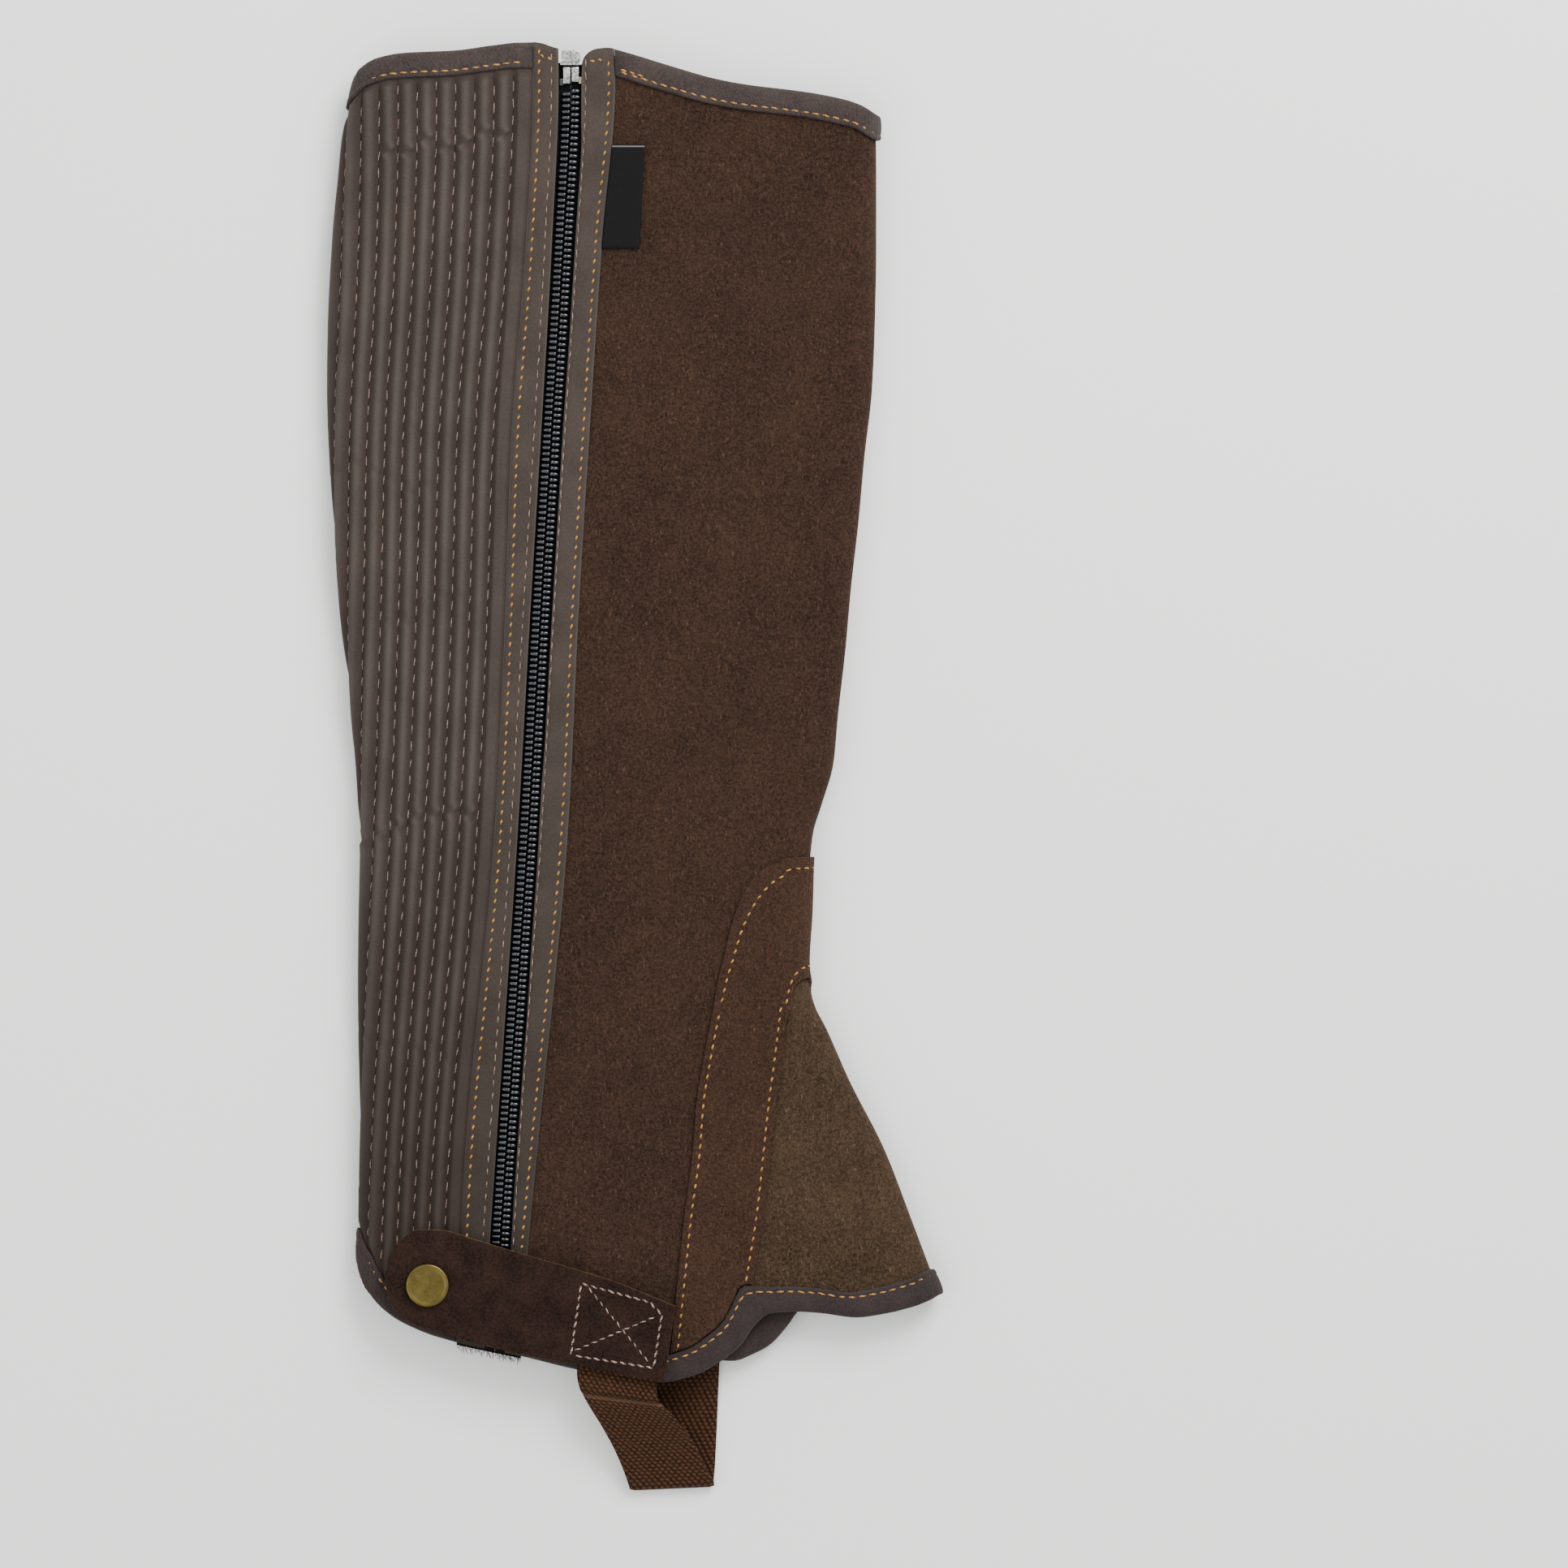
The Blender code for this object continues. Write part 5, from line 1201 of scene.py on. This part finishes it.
elastic = Finish("elastic", 0.8, Specular_IOR_Level=0.08, Sheen_Weight=0.04)
rows_in = elastic.axis("X", "cloth") / ELASTIC_ROW
in_row = rows_in.part()
dashes = elastic.axis("Y", "cloth") / ELASTIC_DASH + (rows_in - in_row) * ELASTIC_SHIFT
weave = (in_row * 2 - 1).size() * -0.6 + (dashes * 2 * math.pi).sine() * 0.45 + 0.65
share = (weave * 0.7 + elastic.grain(1.0, 3.0, 0.7, 0.36, 0.64) * 0.3).clamp()
woven = elastic.blend(share, (0.005, 0.0022, 0.001), (0.082, 0.034, 0.0155))
# Painted highlight: the elastic is painted paler along the ridge where the strap bends down.
ridge_highlight = 1.0 - (elastic.axis("X", "cloth") - RIDGE_RUN).size().step(0.2, 1.1)
elastic.set(Base_Color=elastic.blend(ridge_highlight * 0.5, woven, (0.13, 0.08, 0.05)),
            Normal=elastic.relief(weave, 0.3, 0.9))
left, right = (np.array([(*row[at:at + 2], row.z) for row in STRAP]) for at in (0, 2))
run = lengths((left + right) / 2)
at = np.union1d(np.linspace(0, run[-1], STRAP_STATIONS),
                np.linspace(run[BEND_FIRST], run[BEND_LAST], BEND_STATIONS))
left, right = (np.stack(through(side, run, at), 1) for side in (left, right))
outs = unit(np.cross(right - left, np.gradient((left + right) / 2, axis=0)))
across = np.linspace(0, 1, STRAP_ACROSS)
round_edge = np.prod([np.sin(np.pi * np.clip(share * STRAP_ROUND, 0, 0.5))
                      for share in (across, 1 - across)], axis=0)
thick = mix(STRAP_EDGE, 1.0, round_edge) * STRAP_THICK / 2
across, thick = np.append(across, across[::-1]), np.append(thick, -thick[::-1])
ridge_at = mix(run[RIDGE_ROW], run[RIDGE_ROW + 1], RIDGE_SHARE)
hump = RIDGE_HIGH * np.exp(-((at - ridge_at) / RIDGE_HALF) ** 2)
level = hump[:, None, None] + thick[:, None]
rings = mix(left[:, None], right[:, None], across[:, None]) + outs[:, None] * level
strap = swept("foot_strap", rings)
dress(strap, [elastic], "elastic", "elastic_strap")


def leather_finish(name, dark, light, roughness):
    """Smooth oiled leather with fine pores and darker handled patches."""
    leather = Finish(name, roughness, Specular_IOR_Level=0.06)
    oil = leather.grain(9.0, 3.0, 0.55)
    pore = leather.grain(0.9, 3.0, 0.75, 0.36, 0.64)
    leather.set(Base_Color=leather.blend(oil * 0.4 + pore * 0.6, dark, light),
                Roughness=roughness - 0.1 + 0.22 * pore,
                Normal=leather.relief(pore * 0.6 + oil * 0.4, 0.18, 0.6))
    return leather


tab_leather = leather_finish("tab_leather", (0.006, 0.003, 0.0022), (0.029, 0.0138, 0.0098), 0.6)
raw_edge = leather_finish("raw_leather_edge", (0.05, 0.03, 0.016), (0.2, 0.125, 0.065), 0.85)
corners = [(turn_at(INNER, x, y, PATCH_FACE), y) for x, y in PATCH_CORNERS]
v = np.linspace(0, 1, PATCH_POINTS)
patch = [mix(mix(a, b, v[:, None]), mix(d, c, v[:, None]), v) for a, b, c, d in zip(*corners)]
square = soften(wall("strap_square", [patch], PATCH_LOW, PATCH_FACE), PATCH_ROUND)
dress(square, [tab_leather, raw_edge], "tab_leather", "strap_patch")

# Tab: two layers of dark oiled leather with raw edges, sewn to the strap's end by a crossed
# box of thick beige thread, and held over the zip's end by a brass press stud.
TAB_LOW, TAB_FACE, TAB_ROWS, TAB_CROWD, TAB_COLUMNS = 5.0, 7.0, 90, 1.25, 20
SNAP_X, SNAP_Y, CAP_LOW, CAP_SIDES = -69.5, -174.8, 7.3, 64
CAP_RINGS = table("radius level", [
    (6.9, 0), (7.2, 0.2), (7.35, 0.6), (7.3, 1), (7.05, 1.35), (6.7, 1.5), (6.3, 1.45), (5.9, 1.3),
    (5.4, 1.25), (4, 1.33), (2.4, 1.4), (1, 1.43),
])
TAB = table("upper_x upper_y lower_x lower_y", [
    (-84, -171.5, -84, -173.5), (-82.6, -165, -82.6, -180), (-78.5, -159.3, -78.5, -185),
    (-72.5, -156, -72.5, -188.6), (-64.5, -156.2, -64.5, -190.6), (-54, -159.2, -54, -194.3),
    (-36, -164.6, -36, -198.4), (-21.5, -168.8, -21.5, -201.2), (-7, -173.3, -8, -204.2),
    (14.3, -181.8, 10.4, -207.6),
])
TAB_BOX = [
    [(-17.5, -174.2), (5.6, -180.5)], [(5.6, -180.5), (9.8, -184.7)], [(9.8, -184.7), (7, -202.8)],
    [(7, -202.8), (-21, -198.4)], [(-21, -198.4), (-17.5, -174.2)], [(-15.3, -175.3), (6, -201.6)],
    [(-20, -197), (9, -184.8)],
]
BOX_SIDES, BOX_POINTS, BOX_GAP = 5, 60, 3.0
SQUARE_LEVEL, SQUARE_GAP = PATCH_FACE - 0.1, 3.4

steps = np.linspace(0, 1, TAB_ROWS) ** TAB_CROWD * (len(TAB) - 1)
upper_x, upper_y, lower_x, lower_y = through(TAB, range(len(TAB)), steps)
over = np.linspace(0, 1, TAB_COLUMNS)[:, None]
upper, lower = turn_at(OUTER, upper_x, upper_y, TAB_FACE), turn_at(OUTER, lower_x, lower_y, TAB_FACE)
patch = mix(upper, lower, over), mix(upper_y, lower_y, over)
tab = soften(wall("snap_tab", [patch], TAB_LOW, TAB_FACE), 0.6, 3, 1)
dress(tab, [tab_leather, raw_edge], "tab_leather", "leather_tab")

box_thread = thread_finish("box_thread", (0.05, 0.03, 0.023), (0.48, 0.345, 0.28))
rows = [row_on(OUTER, run, BOX_POINTS, TAB_FACE, TAB_FACE, BOX_GAP) for run in TAB_BOX]
sides, crosses = rows[:BOX_SIDES], rows[BOX_SIDES:]
sew("tab_stitches", sides, box_thread, "tab_leather", 2.7, 0.62, 0.22, lift=0.2)
sew("tab_cross_stitches", crosses, box_thread, "tab_leather", 2.5, 0.46, 0.2, lift=0.2)
rows = [row_on(INNER, run, CURVE_POINTS, TRIM_TOP, SQUARE_LEVEL, SQUARE_GAP) for run in PATCH_BOX]
sew("square_stitches", rows, box_thread, "tab_leather", 2.7, 0.55, 0.18, dip=0.2, lift=0.0)

deselect()
bpy.ops.mesh.primitive_circle_add(vertices=CAP_SIDES, radius=CAP_RINGS[0].radius * MM,
                                  fill_type="NGON")
cap = bpy.context.object
cap.name = cap.data.name = "press_stud_cap"
bpy.ops.object.mode_set(mode="EDIT")
bpy.ops.mesh.select_all(action="SELECT")
for ring, following in zip(CAP_RINGS, CAP_RINGS[1:]):
    rise = (following.level - ring.level) * MM
    widen = following.radius / ring.radius
    bpy.ops.mesh.extrude_region_move(TRANSFORM_OT_translate={"value": (0, 0, rise)})
    bpy.ops.transform.resize(value=(widen, widen, 1.0))
bpy.ops.mesh.select_all(action="SELECT")
bpy.ops.mesh.normals_make_consistent(inside=False)
bpy.ops.object.mode_set(mode="OBJECT")
set_down(cap, seat(SNAP_X, SNAP_Y, CAP_LOW))
brass = Finish("antique_brass", 0.34, Metallic=1.0)
patina = brass.grain(3.5, 3.0, 0.6, 0.3, 0.75)
scratch = brass.grain(0.8, low=0.45, scale=(0.4, 3.0, 1.0))
brass.set(Base_Color=brass.blend(patina * 0.7 + scratch * 0.3, (0.105, 0.08, 0.022),
                                 (0.165, 0.128, 0.04)),
          Roughness=0.3 + 0.1 * patina, Normal=brass.relief(scratch, 0.01, 0.4))
dress(cap, [brass], "antique_brass", "snap_cap")
for name in ("snap_socket", "snap_stud"):
    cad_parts[name].material_slots[0].material = brass.material

# Label: a black woven satin label, left blank, sewn in beside the zip strip.
LABEL_LOW, LABEL_HIGH, LABEL_RIGHT, LABEL_LEAN = 176.5, 211.5, 4.0, 0.05
LABEL_BACK, LABEL_FACE, LABEL_LINE = 1.55, 2.55, 210.9
LABEL_COLUMNS, LABEL_ROWS, LABEL_GAP, LABEL_ROUND, WEAVE = 14, 30, 0.1, 0.25, 15.0

label_cloth = Finish("label", 0.6, Specular_IOR_Level=0.08)
weft, warp = ((label_cloth.axis(name, "cloth") * WEAVE).sine() * 0.5 + 0.5 for name in "YX")
hem_line = 1.0 - (label_cloth.axis("Y", "cloth") - LABEL_LINE).size().step(0.15, 0.35)
plain = label_cloth.blend(weft * 0.6 + warp * 0.4, (0.002, 0.002, 0.0024), (0.008, 0.008, 0.0088))
label_cloth.set(Base_Color=label_cloth.blend(hem_line * 0.6, plain, (0.2, 0.19, 0.18)),
                Normal=label_cloth.relief(weft * 0.5 + warp * 0.5, 0.1, 0.7))
far = edge_turn(OUTER, lambda y: LABEL_RIGHT - (LABEL_HIGH - y) * LABEL_LEAN)
patch = columns(between(zip_turn("right_out", LABEL_GAP), far, np.linspace(0, 1, LABEL_COLUMNS)),
                lambda across: LABEL_LOW, lambda across: LABEL_HIGH, LABEL_ROWS)
label = soften(wall("blank_label", [patch], LABEL_BACK, LABEL_FACE), LABEL_ROUND)
dress(label, [label_cloth], "label", "woven_label")
